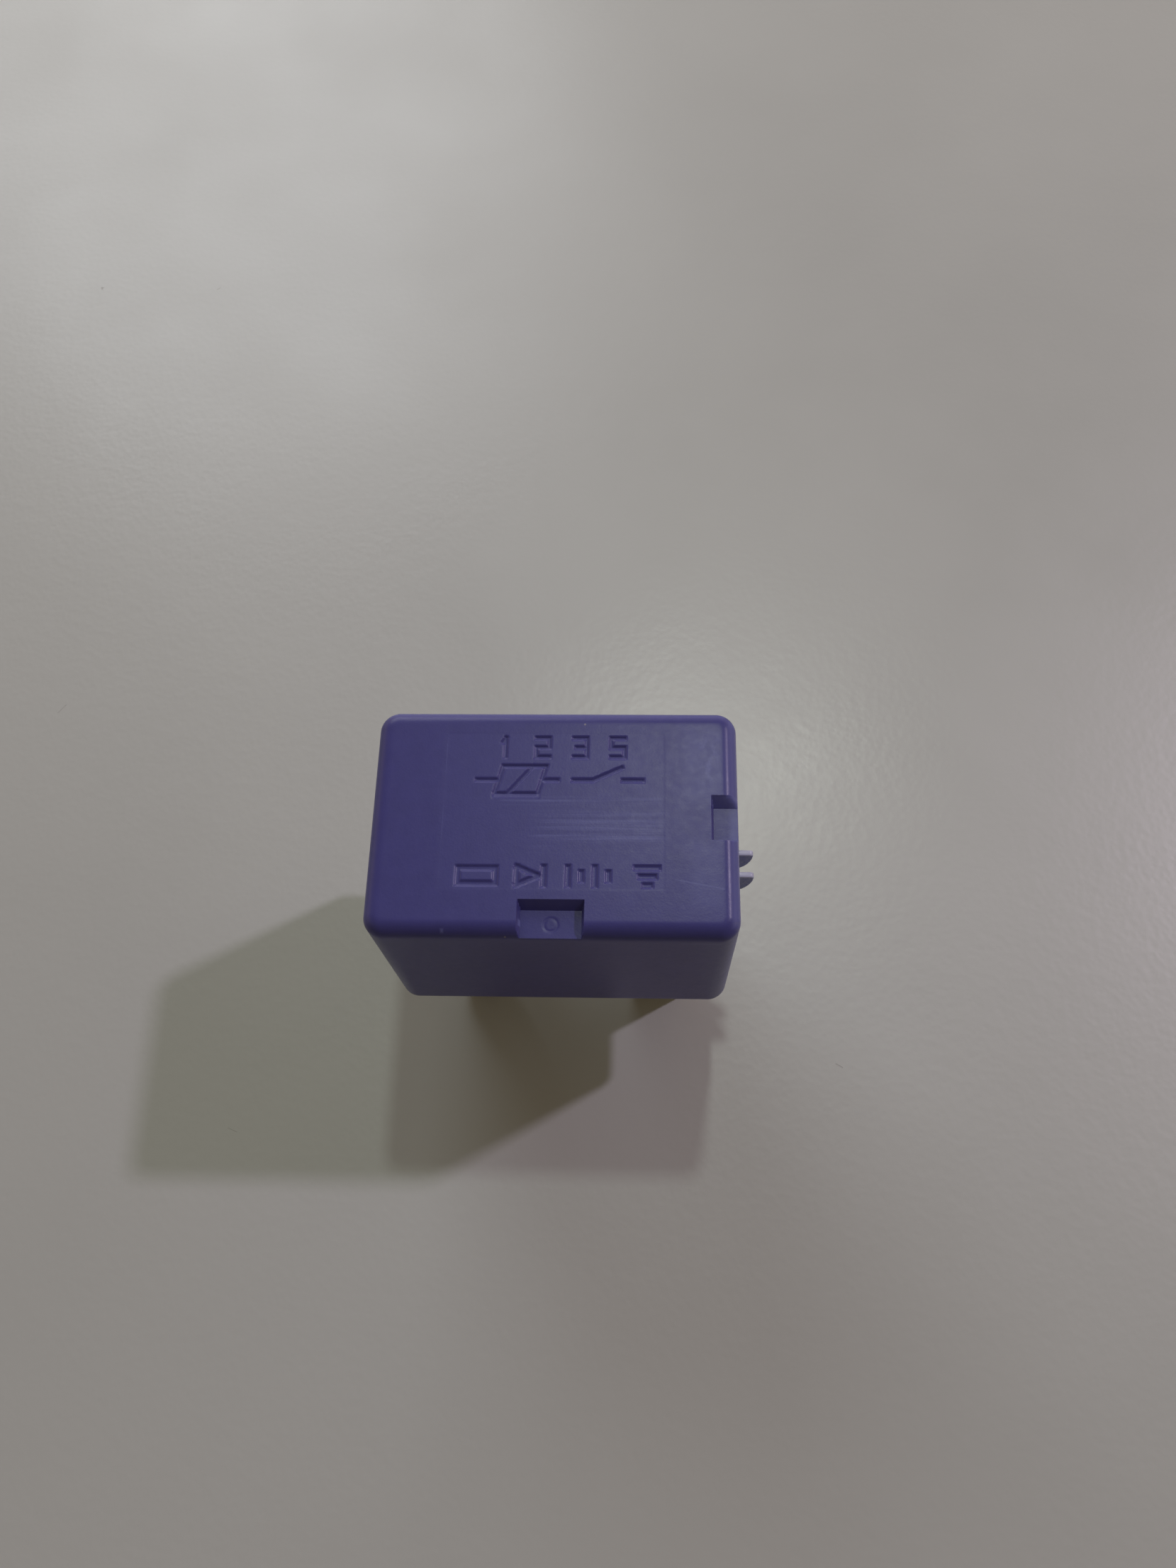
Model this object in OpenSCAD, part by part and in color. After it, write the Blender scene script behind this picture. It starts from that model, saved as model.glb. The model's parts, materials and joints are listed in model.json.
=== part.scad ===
// Plug-in relay: four blade terminals, one normally-open contact pair, dome-cornered cover.
// Frame: origin at the centre of the seating plane (the cover's open rim), +Z towards the
// closed top, +X along the long side, towards the contact end. Blades point along -Z.
// The armature is drawn released, resting under its back stop.

/* [Cover] */
// Outside length of the cover, along X
cover_l = 28; // [24:0.5:36]
// Outside width of the cover, along Y
cover_w = 18.4; // [16:0.2:24]
// Height of the cover from rim to closed top
cover_h = 18.8; // [16:0.2:26]
// Thickness of the side walls
wall = 1.0; // [0.8:0.1:1.4]
// Thickness of the closed top
top_t = 1.3; // [1.1:0.1:1.8]
// Plan radius of the four upright corners
corner_r = 1.6; // [1.4:0.1:2.4]
// Radius of the rounded edge round the top
edge_r = 1.2; // [0.6:0.1:1.3]
// Size of the square posts inside the corners that sit on the base
post_w = 1.2; // [0.8:0.1:1.6]

/* [Top pockets] */
// Depth of both moulded pockets
pocket_d = 0.9; // [0.5:0.1:1.0]
// Width of the pocket in the long edge
front_pocket_w = 5.0; // [3:0.5:8]
// Reach of that pocket from the face
front_pocket_in = 2.7; // [2:0.1:3.5]
// Width of the pocket in the short edge
side_pocket_w = 3.3; // [2:0.1:5]
// Reach of that pocket from the face
side_pocket_in = 2.1; // [1.5:0.1:3]
// Radius of the gate mark on the floor of the long-edge pocket
gate_r = 0.5; // [0.3:0.1:0.8]

/* [Lock ribs] */
// Height of the flat top of the two lock ribs above the rim
rib_top_z = 9; // [7:0.5:12]
// How far the ribs stand proud of the end face
rib_out = 1.9; // [1:0.1:2.5]
// Thickness of one rib
rib_t = 0.5; // [0.4:0.05:0.8]
// Spacing of the two ribs
rib_pitch = 1.9; // [1.5:0.1:3]
// Height of a rib from its flat top to the foot of its curved underside
rib_ramp_h = 3.6; // [2.4:0.2:6]

/* [Engraving] */
// Depth of the engraved panel marks
mark_d = 0.15; // [0.1:0.05:0.3]
// Line width of the engraved marks
mark_w = 0.3; // [0.2:0.05:0.4]

/* [Base] */
// Thickness of the base plate
base_t = 2.6; // [2:0.1:4]
// Depth of the base's underside above the rim
base_recess = 0.8; // [0.4:0.1:1.2]
// Gap between base and cover all round
base_fit = 0.1; // [0.05:0.05:0.2]
// Depth of the resin wells round the blades
well_d = 0.6; // [0.4:0.1:1]
// Margin of a resin well round its blade
well_margin = 0.7; // [0.4:0.1:1]

/* [Terminals] */
// Thickness of every blade
blade_t = 0.8; // [0.6:0.1:1]
// Reach of the blades below the seating plane
blade_len = 12; // [8:0.5:15]
// Width of the two contact blades
contact_blade_w = 6.3; // [4.8:0.1:6.5]
// Width of the two coil blades
coil_blade_w = 4.8; // [2.8:0.1:6.3]
// Radius of the latch hole in each blade
latch_r = 0.8; // [0.5:0.1:0.9]
// Inset of the blade rows from the cavity's long walls
row_inset = 3.0; // [2.6:0.1:3.6]
// Inset of the contact blades' centre from the cavity's end
contact_inset = 4.8; // [4.6:0.1:6]

/* [Magnet] */
// Thickness of the yoke strip
yoke_t = 1.2; // [0.8:0.1:1.6]
// Thickness of the armature plate
armature_t = 1.2; // [0.8:0.1:1.5]
// Diameter of the core
core_d = 4; // [3:0.2:5]
// Diameter of the core's pole face
pole_d = 7; // [5:0.2:7.4]
// Thickness of the pole face
pole_t = 0.8; // [0.5:0.1:1.2]
// Swing of the armature from back stop to pole, in degrees
swing = 3; // [2:0.25:4]
// Thickness of the bobbin flanges
flange_t = 0.8; // [0.6:0.1:1.2]
// Thickness of the bobbin barrel
barrel_t = 0.6; // [0.4:0.1:1]

/* [Contacts] */
// Thickness of the contact leaf
leaf_t = 0.25; // [0.15:0.05:0.35]
// Diameter of the moving contact
moving_d = 3; // [2:0.1:3.2]
// Diameter of the fixed contact
fixed_d = 3.2; // [2:0.1:3.6]
// Height of the moving contact's head
moving_h = 0.8; // [0.5:0.1:1]
// Height of the fixed contact's head
fixed_h = 0.6; // [0.4:0.1:1]
// Thickness of the return leaf
return_t = 0.2; // [0.1:0.05:0.25]

/* [Resistor] */
// Diameter of the resistor body
res_d = 2.2; // [1.6:0.1:2.4]
// Length of the resistor body
res_len = 6; // [4:0.2:6.6]
// Diameter of its leads
lead_d = 0.5; // [0.4:0.05:0.6]

/* [Hidden] */
$fn = 48;
eps = 0.02;                 // slip between pieces that touch
slot_gap = 0.05;            // play of a blade in its slot
side_gap = 1.7;             // bobbin flange to the cavity's long wall

// Cavity of the cover
cav_l = cover_l - 2 * wall;
cav_w = cover_w - 2 * wall;
cav_top = cover_h - top_t;
// Base plate
base_l = cav_l - 2 * base_fit;
base_w = cav_w - 2 * base_fit;
base_z1 = base_recess + base_t;
// Blade rows
row_y = cav_w / 2 - row_inset;
contact_x = cav_l / 2 - contact_inset;
post_in = 0.65;             // each side of a contact blade narrows by this inside
// Yoke, hinge line and coil
yoke_x = -cav_l / 2 + 0.8;
yoke_w = 2 * (row_y - blade_t / 2 - 0.6);
foot_z1 = base_z1 + yoke_t;
flange_x0 = yoke_x + yoke_t + 0.4;
flange_x1 = contact_x - 7.2;
flange_w = cav_w - 2 * side_gap;
coil_x = (flange_x0 + flange_x1) / 2;
winding_r = min(flange_x1 - flange_x0 - 1.2, flange_w - 2.6) / 2;
tape_t = 0.15;
tape_in = 1.5;              // bare turns left at each end of the tape
foot_x1 = flange_x1 + 3;
arm_x1 = flange_x1 + 1;
tip_x = contact_x + 2.3;
// Heights worked down from the cavity's top
arm_rise = (tip_x - yoke_x) * sin(swing);
stack_h = armature_t + leaf_t + eps;
stop_t = 0.5;
stop_gap = 0.03;
head_room = stack_h * cos(swing) + arm_rise + stop_gap + stop_t + 0.12;
pole_z = cav_top - head_room;
bobbin_z1 = pole_z - pole_t;
winding_z0 = foot_z1 + flange_t;
winding_z1 = bobbin_z1 - flange_t;
arm_z0 = pole_z + eps;
arm_z1 = arm_z0 + armature_t;
fixed_z1 = arm_z1 - moving_h - 0.03;
no_arm_z1 = fixed_z1 - fixed_h;
// Coil terminals and resistor
coil_post_w = 1.2;
coil_post_x = flange_x0 + 1.2;
coil_blade_x = coil_post_x + coil_blade_w / 2 - coil_post_w;
res_x = flange_x1 + 2.2;
res_z = foot_z1 + blade_t + res_d / 2 + 0.7;
lead_y = flange_w / 2 + 0.6;
coil_post_z1 = res_z + 1;
bend_r = 0.6;
// Back stop
stop_x0 = cav_l / 2 - 1.4;
stop_x1 = stop_x0 + 0.6;
stop_w = 4;
stop_root = 1.6;

// Box from its lowest to its highest corner
module span(a, b) {
    translate(a) cube(b - a);
}

// Outline in X and Z, given a thickness along Y about y
module upright(y, t) {
    translate([0, y + t / 2, 0]) rotate([90, 0, 0]) linear_extrude(t) children();
}

// Round bar from one point along an axis: "x", "y" or "z"
module bar(p, axis, d, len) {
    turn = axis == "x" ? [0, 90, 0] : axis == "y" ? [-90, 0, 0] : [0, 0, 0];
    translate(p) rotate(turn) cylinder(d = d, h = len);
}

// Straight wire between two points
module wire(p, q, d) {
    v = q - p;
    len = norm(v);
    translate(p) rotate([0, acos(v[2] / len), atan2(v[1], v[0])]) cylinder(d = d, h = len);
}

// Turns what is drawn closed up to the armature's rest place under the back stop
module released() {
    translate([yoke_x, 0, pole_z])
        rotate([0, -swing, 0])
            translate([-yoke_x, 0, -pole_z]) children();
}

// Quarter of a round-topped corner post, in the +X +Y quarter
module corner_quarter(r, top_r, h) {
    rotate_extrude(angle = 90) {
        square([r - top_r, h]);
        square([r, h - top_r]);
        translate([r - top_r, h - top_r]) intersection() {
            circle(top_r);
            square(top_r);
        }
    }
}

// Upright outline of a slab with rounded top edges
module slab_outline(w, h, top_r) {
    square_w = w - 2 * top_r;
    translate([-w / 2, 0]) square([w, h - top_r]);
    translate([-square_w / 2, 0]) square([square_w, h]);
    for (s = [-1, 1])
        translate([s * square_w / 2, h - top_r]) intersection() {
            circle(top_r);
            translate([s < 0 ? -top_r : 0, 0]) square(top_r);
        }
}

// Block with round upright corners and a rounded top edge, standing on z = 0
module rounded_block(l, w, h, r, top_r) {
    rotate([90, 0, 0]) translate([0, 0, -(w / 2 - r)])
        linear_extrude(w - 2 * r) slab_outline(l, h, top_r);
    rotate([90, 0, 90]) translate([0, 0, -(l / 2 - r)])
        linear_extrude(l - 2 * r) slab_outline(w, h, top_r);
    for (sx = [-1, 1], sy = [-1, 1])
        translate([sx * (l / 2 - r), sy * (w / 2 - r), 0])
            rotate([0, 0, sx > 0 ? (sy > 0 ? 0 : -90) : (sy > 0 ? 90 : 180)])
                corner_quarter(r, top_r, h);
}

// One lock rib: flat top, small nose and a convex underside that runs back to the face
module lock_rib() {
    nose = 0.3;
    x0 = cover_l / 2;
    nose_arc = [for (a = [90:-30:0]) [x0 + rib_out - nose + nose * cos(a), rib_top_z - nose + nose * sin(a)]];
    belly = [for (a = [15:15:90])
        [x0 + rib_out * cos(a), rib_top_z - nose - (rib_ramp_h - nose) * sin(a)]];
    outline = concat([[x0 - wall / 2, rib_top_z]], nose_arc, belly, [[x0 - wall / 2, rib_top_z - rib_ramp_h]]);
    linear_extrude(rib_t, center = true) polygon(outline);
}

// Engraved line between two plan points
module stroke(p, q, w = mark_w) {
    v = q - p;
    translate(p) rotate(atan2(v[1], v[0])) translate([-w / 2, -w / 2]) square([norm(v) + w, w]);
}

// Engraved closed or open run of lines
module strokes(pts, w = mark_w) {
    for (i = [1:len(pts) - 1]) stroke(pts[i - 1], pts[i], w);
}

// Terminal number in straight strokes, w wide and h high
module digit(n, w = 1.0, h = 1.6) {
    if (n == 1) strokes([[0.3 * w, 0.8 * h], [w / 2, h], [w / 2, 0]]);
    if (n == 2) strokes([[0, h], [w, h], [w, h / 2], [0, h / 2], [0, 0], [w, 0]]);
    if (n == 3) {
        strokes([[0, h], [w, h], [w, 0], [0, 0]]);
        stroke([0.2 * w, h / 2], [w, h / 2]);
    }
    if (n == 5) strokes([[w, h], [0, h], [0, h / 2], [w, h / 2], [w, 0], [0, 0]]);
}

// Generic circuit marks of a make-contact relay, in plan
module panel_marks() {
    numbers = [1, 2, 3, 5];
    for (i = [0:3]) translate([-4.4 + 2.9 * i, 5.1]) digit(numbers[i]);
    // coil: slanted box with its diagonal and two tails
    strokes([[-4.6, 2], [-4, 4.3], [-0.7, 4.3], [-1.3, 2], [-4.6, 2]]);
    stroke([-3.6, 2], [-1.7, 4.3]);
    stroke([-6, 3.15], [-4.3, 3.15]);
    stroke([-1, 3.15], [0.2, 3.15]);
    // make contact: two tails and an open blade
    stroke([1.4, 3.15], [2.9, 3.15]);
    stroke([2.9, 3.15], [5.1, 4.2]);
    stroke([5.2, 3.15], [6.7, 3.15]);
    // bold row: resistor, rectifier, battery and earth signs
    bold = mark_w * 1.4;
    strokes([[-7, -5.2], [-7, -4.0], [-4.2, -4.0], [-4.2, -5.2], [-7, -5.2]], bold);
    strokes([[-2.6, -5.3], [-2.6, -3.9], [-1, -4.6], [-2.6, -5.3]], bold);
    stroke([-0.6, -5.3], [-0.6, -3.9], bold);
    stroke([1.2, -5.3], [1.2, -3.9], bold);
    stroke([2.2, -4.9], [2.2, -4.3], bold);
    stroke([3.2, -5.3], [3.2, -3.9], bold);
    stroke([4.2, -4.9], [4.2, -4.3], bold);
    stroke([6.3, -3.9], [7.9, -3.9], bold);
    stroke([6.6, -4.6], [7.6, -4.6], bold);
    stroke([6.9, -5.3], [7.3, -5.3], bold);
}

module cover() {
    color([0.29, 0.28, 0.44]) {
        difference() {
            rounded_block(cover_l, cover_w, cover_h, corner_r, edge_r);
            difference() {
                span([-cav_l / 2, -cav_w / 2, -1], [cav_l / 2, cav_w / 2, cav_top]);
                for (sx = [-1, 1], sy = [-1, 1])
                    translate([sx * cav_l / 2, sy * cav_w / 2, base_z1 + eps])
                        translate([-post_w, -post_w, 0]) cube([2 * post_w, 2 * post_w, cover_h]);
            }
            span([-front_pocket_w / 2, -cover_w, cover_h - pocket_d],
                [front_pocket_w / 2, -cover_w / 2 + front_pocket_in, cover_h + 1]);
            span([cover_l / 2 - side_pocket_in, -side_pocket_w / 2, cover_h - pocket_d],
                [cover_l, side_pocket_w / 2, cover_h + 1]);
            translate([0, 0, cover_h - mark_d]) linear_extrude(1) panel_marks();
            // gate mark: a fine ring groove
            translate([0, -cover_w / 2 + 1.1, cover_h - pocket_d - 0.08]) difference() {
                cylinder(r = gate_r, h = 0.5);
                translate([0, 0, -1]) cylinder(r = gate_r - 0.12, h = 2);
            }
        }
        for (s = [-1, 1])
            translate([0, s * rib_pitch / 2, 0]) rotate([90, 0, 0]) lock_rib();
    }
}

// Box round a blade, grown by g each way, from z0 to z1
module blade_room(x, s, w, g, z0, z1) {
    span([x - w / 2 - g, s * row_y - blade_t / 2 - g, z0], [x + w / 2 + g, s * row_y + blade_t / 2 + g, z1]);
}

// Same room for each of the four blades
module blade_rooms(g, z0, z1) {
    for (s = [-1, 1]) {
        blade_room(contact_x, s, contact_blade_w, g, z0, z1);
        blade_room(coil_blade_x, s, coil_blade_w, g, z0, z1);
    }
}

module base() {
    color([0.13, 0.12, 0.12]) difference() {
        span([-base_l / 2, -base_w / 2, base_recess], [base_l / 2, base_w / 2, base_z1]);
        blade_rooms(slot_gap, -1, base_z1 + 1);
        blade_rooms(well_margin, -1, base_recess + well_d);
        // seat for the core's riveted tail
        translate([coil_x, 0, base_z1 - 0.8]) cylinder(d = core_d + 0.8, h = 2);
        // root of the back stop
        span([stop_x0 - slot_gap, -stop_w / 2 - slot_gap, base_z1 - stop_root],
            [stop_x1 + slot_gap, stop_w / 2 + slot_gap, base_z1 + 1]);
        // vent hole
        translate([contact_x - 5, 0, -1]) cylinder(d = 1, h = base_z1 + 2);
        // moulded frame line on the underside
        difference() {
            span([-base_l / 2 + 0.8, -1.6, -1], [base_l / 2 - 0.8, 1.6, base_recess + 0.3]);
            span([-base_l / 2 + 1.4, -1, -2], [base_l / 2 - 1.4, 1, base_recess + 1]);
        }
    }
}

module terminal_seals() {
    color([0.10, 0.09, 0.10]) difference() {
        blade_rooms(well_margin - eps, base_recess + 0.1, base_recess + well_d - eps);
        blade_rooms(eps, -1, base_z1);
    }
}

// Blade outline in X and Z with a tapered tip and a latch hole
module blade_outline(w, z1) {
    difference() {
        polygon([[-w / 2 + 0.9, -blade_len], [w / 2 - 0.9, -blade_len], [w / 2, -blade_len + 1.5],
            [w / 2, z1], [-w / 2, z1], [-w / 2, -blade_len + 1.5]]);
        translate([0, -blade_len + 4]) circle(latch_r);
    }
}

// Blade of width w at x in row s, up to z1, with its tip thinned
module blade(x, s, w, z1) {
    tip = 1.2;
    translate([x, s * row_y, 0]) difference() {
        upright(0, blade_t) blade_outline(w, z1);
        for (side = [-1, 1])
            translate([0, side * (blade_t / 2 + 0.2), -blade_len - 0.3])
                rotate([side * -14, 0, 0]) span([-w, -0.2, -1], [w, 0.2, tip]);
    }
}

module contact_terminal_common() {
    lap_y0 = 0.8;
    color([0.80, 0.66, 0.42]) {
        blade(contact_x, 1, contact_blade_w, base_z1);
        difference() {
            union() {
                span([contact_x - contact_blade_w / 2 + post_in, row_y - blade_t / 2, base_z1 - 0.5],
                    [contact_x + contact_blade_w / 2 - post_in, row_y + blade_t / 2, foot_z1 + blade_t]);
                span([contact_x - contact_blade_w / 2 + post_in, lap_y0, foot_z1],
                    [contact_x + 1.2, row_y + blade_t / 2, foot_z1 + blade_t]);
                span([flange_x1 + 0.5, lap_y0, foot_z1],
                    [contact_x, yoke_w / 2 - 0.2, foot_z1 + blade_t]);
            }
            translate([contact_x - 0.4, lap_y0 + 1.6, 0]) cylinder(d = 1, h = cover_h);
        }
    }
}

module contact_terminal_no() {
    color([0.80, 0.66, 0.42]) {
        blade(contact_x, -1, contact_blade_w, base_z1);
        span([contact_x - contact_blade_w / 2 + post_in, -row_y - blade_t / 2, base_z1 - 0.5],
            [contact_x + contact_blade_w / 2 - post_in, -row_y + blade_t / 2, no_arm_z1]);
        difference() {
            span([contact_x - 2, -row_y - blade_t / 2, no_arm_z1 - blade_t],
                [contact_x + 2, 1.9, no_arm_z1]);
            translate([contact_x, 0, 0]) cylinder(d = 1.6 + 2 * eps, h = cover_h);
        }
    }
}

// Coil blade with the narrow post that stands up through the bobbin's flange
module coil_terminal(s) {
    color([0.78, 0.76, 0.70]) {
        blade(coil_blade_x, s, coil_blade_w, base_z1);
        span([coil_post_x - coil_post_w / 2, s * row_y - blade_t / 2, base_z1 - 0.5],
            [coil_post_x + coil_post_w / 2, s * row_y + blade_t / 2, coil_post_z1]);
    }
}

module coil_terminal_a() {
    coil_terminal(-1);
}

module coil_terminal_b() {
    coil_terminal(1);
}

module yoke() {
    ear = 0.8;
    color([0.62, 0.63, 0.64]) difference() {
        union() {
            span([yoke_x, -yoke_w / 2, base_z1], [foot_x1, yoke_w / 2, foot_z1]);
            span([yoke_x, -yoke_w / 2, base_z1], [yoke_x + yoke_t, yoke_w / 2, pole_z]);
            for (s = [-1, 1])
                span([yoke_x, s * (yoke_w / 2 - ear / 2) - ear / 2, base_z1],
                    [yoke_x + yoke_t, s * (yoke_w / 2 - ear / 2) + ear / 2, pole_z + 0.9]);
        }
        translate([coil_x, 0, 0]) cylinder(d = core_d - 1 + 2 * eps, h = foot_z1 + 1);
        for (s = [-1, 1])
            bar([yoke_x - 1, s * yoke_w / 4, (winding_z0 + winding_z1) / 2], "x", 1.2 + 2 * eps, 4);
    }
}

module core() {
    color([0.70, 0.70, 0.70]) translate([coil_x, 0, 0]) rotate_extrude()
        polygon([[0, base_z1 - 0.6], [core_d / 2 - 0.15, base_z1 - 0.6], [core_d / 2, base_z1 - 0.3],
            [core_d / 2, base_z1 - eps], [core_d / 2 - 0.5, base_z1 - eps], [core_d / 2 - 0.5, foot_z1 + eps],
            [core_d / 2, foot_z1 + eps], [core_d / 2, bobbin_z1 + eps], [pole_d / 2, bobbin_z1 + eps],
            [pole_d / 2, pole_z - 0.2], [pole_d / 2 - 0.2, pole_z], [0, pole_z]]);
}

module bobbin() {
    barrel_r = core_d / 2 + eps + barrel_t;
    color([0.86, 0.84, 0.76]) difference() {
        union() {
            for (z = [foot_z1, winding_z1])
                span([flange_x0, -flange_w / 2, z], [flange_x1, flange_w / 2, z + flange_t]);
            translate([coil_x, 0, foot_z1]) cylinder(r = barrel_r, h = bobbin_z1 - foot_z1);
        }
        translate([coil_x, 0, 0]) cylinder(d = core_d + 2 * eps, h = cover_h);
        for (s = [-1, 1])
            span([coil_post_x - coil_post_w / 2 - slot_gap, s * row_y - blade_t / 2 - slot_gap, 0],
                [coil_post_x + coil_post_w / 2 + slot_gap, s * row_y + blade_t / 2 + slot_gap, winding_z0 + 1]);
        // wire exit notches in the lower flange
        for (s = [-1, 1])
            span([flange_x0 - 1, s * (flange_w / 2 - 0.3) - 0.4, 0], [flange_x0 + 0.5,
                s * (flange_w / 2 - 0.3) + 0.4, winding_z0 + 1]);
    }
}

// Round sleeve about the coil axis
module sleeve(r0, r1, z0, z1) {
    translate([coil_x, 0, z0]) difference() {
        cylinder(r = r1, h = z1 - z0);
        translate([0, 0, -1]) cylinder(r = r0, h = z1 - z0 + 2);
    }
}

module coil_winding() {
    color([0.55, 0.27, 0.12])
        sleeve(core_d / 2 + 2 * eps + barrel_t, winding_r - tape_t - eps, winding_z0 + eps, winding_z1 - eps);
}

module coil_tape() {
    color([0.80, 0.62, 0.20])
        sleeve(winding_r - tape_t, winding_r, winding_z0 + tape_in, winding_z1 - tape_in);
}

// Coil end: wire from the winding to a solder bead on the post
module coil_lead(s, z_wire, z_bead) {
    d = 0.2;
    bead_d = 1.9;
    post = [coil_post_x, s * row_y, z_bead];
    axis = [coil_x, 0, z_wire];
    flat = [post[0] - axis[0], post[1] - axis[1], 0];
    dir = flat / norm(flat);
    start = axis + dir * (winding_r + 0.15);
    finish = post - dir * bead_d / 3;
    color([0.72, 0.45, 0.22]) {
        difference() {
            union() {
                wire(start, finish, d);
                translate([0, 0, -0.35] + post) cylinder(d = bead_d, h = 0.7);
            }
            blade_like = [coil_post_w / 2 + eps, blade_t / 2 + eps, 2];
            span(post - blade_like, post + blade_like);
        }
    }
}

module coil_lead_start() {
    coil_lead(-1, winding_z0 + 0.25, winding_z0 + 0.4);
}

module coil_lead_finish() {
    coil_lead(1, winding_z0 + 0.6, winding_z0 + 0.9);
}

module suppression_resistor() {
    cap = 0.25;
    color([0.55, 0.70, 0.74]) translate([res_x, 0, res_z]) rotate([90, 0, 0]) rotate_extrude()
        polygon([[0, -res_len / 2], [res_d / 2 - cap, -res_len / 2], [res_d / 2, -res_len / 2 + cap],
            [res_d / 2, -res_len / 2 + 1.2], [res_d / 2 - 0.15, -res_len / 2 + 1.5],
            [res_d / 2 - 0.15, res_len / 2 - 1.5], [res_d / 2, res_len / 2 - 1.2],
            [res_d / 2, res_len / 2 - cap], [res_d / 2 - cap, res_len / 2], [0, res_len / 2]]);
}

// Quarter bend of a round lead in plan, centred on p, starting at angle a
module quarter_bend(p, a) {
    translate(p) rotate([0, 0, a]) rotate_extrude(angle = 90)
        translate([bend_r, 0]) circle(d = lead_d);
}

// Resistor lead on side y > 0: out, along the coil's side and in to the coil post
module resistor_lead() {
    y_in = row_y + blade_t / 2 + eps;
    bar([res_x, res_len / 2 + eps, res_z], "y", lead_d, lead_y - bend_r - res_len / 2 - eps);
    quarter_bend([res_x - bend_r, lead_y - bend_r, res_z], 0);
    bar([coil_post_x + bend_r, lead_y, res_z], "x", lead_d, res_x - coil_post_x - 2 * bend_r);
    quarter_bend([coil_post_x + bend_r, lead_y - bend_r, res_z], 90);
    bar([coil_post_x, y_in, res_z], "y", lead_d, lead_y - bend_r - y_in);
}

module resistor_lead_a() {
    color([0.75, 0.75, 0.74]) mirror([0, 1, 0]) resistor_lead();
}

module resistor_lead_b() {
    color([0.75, 0.75, 0.74]) resistor_lead();
}

// Leaf over the hinge: upright leg on the yoke, bend, and a leg that lies on the armature
module return_spring() {
    w = yoke_w - 2.4;
    gap = 0.03;
    r = 0.5;
    x0 = yoke_x - gap - return_t;
    cx = x0 + r;
    // height of the bend's centre that lays the upper leg on the lifted armature
    cz = (armature_t + eps + gap - r + return_t + (cx - yoke_x) * sin(swing)) / cos(swing) + pole_z;
    z_low = winding_z0 + 1.4;
    leg = 3;
    bend = [for (i = [0:6]) 180 - i * (90 - swing) / 6];
    outer = [for (a = bend) [cx + r * cos(a), cz + r * sin(a)]];
    inner = [for (i = [6:-1:0]) [cx + (r - return_t) * cos(bend[i]), cz + (r - return_t) * sin(bend[i])]];
    end = [leg * cos(swing), leg * sin(swing)];
    color([0.78, 0.62, 0.36]) difference() {
        upright(0, w) polygon(concat([[x0, z_low]], outer, [outer[6] + end, inner[0] + end], inner,
            [[x0 + return_t, z_low]]));
        for (s = [-1, 1])
            bar([yoke_x - 1, s * yoke_w / 4, (winding_z0 + winding_z1) / 2], "x", 1.2 + 2 * eps, 2);
    }
}

module yoke_rivets() {
    color([0.72, 0.72, 0.70]) for (s = [-1, 1])
        translate([yoke_x, s * yoke_w / 4, (winding_z0 + winding_z1) / 2]) rotate([0, 90, 0])
            rotate_extrude()
                polygon([[0, -0.55], [0.7, -0.55], [0.95, -return_t - 0.05], [0.6, -return_t - 0.05],
                    [0.6, yoke_t + eps], [0.9, yoke_t + eps], [0.7, yoke_t + 0.28], [0, yoke_t + 0.28]]);
}

module back_stop() {
    stop_z1 = cav_top - 0.12;
    color([0.66, 0.66, 0.66]) {
        span([stop_x0, -stop_w / 2, base_z1 - stop_root + eps], [stop_x1, stop_w / 2, stop_z1]);
        span([contact_x + 1.5, -stop_w / 2, stop_z1 - stop_t], [stop_x1, stop_w / 2, stop_z1]);
    }
}

module fixed_contact() {
    r = fixed_d / 2;
    color([0.82, 0.82, 0.80]) translate([contact_x, 0, 0]) rotate_extrude()
        polygon([[0, no_arm_z1 - blade_t - 0.35], [0.9, no_arm_z1 - blade_t - 0.35],
            [1.2, no_arm_z1 - blade_t - eps], [0.8, no_arm_z1 - blade_t - eps], [0.8, no_arm_z1 + eps],
            [r, no_arm_z1 + eps], [r, fixed_z1 - 0.15], [r - 0.35, fixed_z1], [0, fixed_z1]]);
}

module armature() {
    notch_x = yoke_x + yoke_t + 0.15;
    rear_x = yoke_x + 0.1;
    relief = 0.4;           // rear edge bevelled to clear the return leaf's bend
    color([0.60, 0.61, 0.62]) released() difference() {
        upright(0, yoke_w) polygon([[rear_x, arm_z0], [arm_x1, arm_z0], [arm_x1, arm_z1],
            [rear_x + relief, arm_z1], [rear_x, arm_z1 - relief]]);
        for (s = [-1, 1]) {
            span([yoke_x - 1, s * yoke_w / 2 - 1, 0], [notch_x, s * yoke_w / 2 + 1, cover_h]);
            translate([yoke_x + 5.2, s * 1.8, 0]) cylinder(d = 1.2 + 2 * eps, h = cover_h);
        }
    }
}

module contact_spring() {
    broad = yoke_w / 2 - 1.2;
    slim = 2.1;
    color([0.80, 0.60, 0.34]) released() translate([0, 0, arm_z1]) difference() {
        linear_extrude(leaf_t) polygon([[yoke_x + 3.9, -broad], [arm_x1 - 0.5, -broad],
            [arm_x1 + 2.5, -slim], [tip_x - 0.6, -slim], [tip_x, -slim + 0.6], [tip_x, slim - 0.6],
            [tip_x - 0.6, slim], [arm_x1 + 2.5, slim], [arm_x1 - 0.5, broad], [yoke_x + 3.9, broad]]);
        for (s = [-1, 1])
            translate([yoke_x + 5.2, s * 1.8, -1]) cylinder(d = 1.2 + 2 * eps, h = 3);
        translate([contact_x, 0, -1]) cylinder(d = 1.4 + 2 * eps, h = 3);
    }
}

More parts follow.
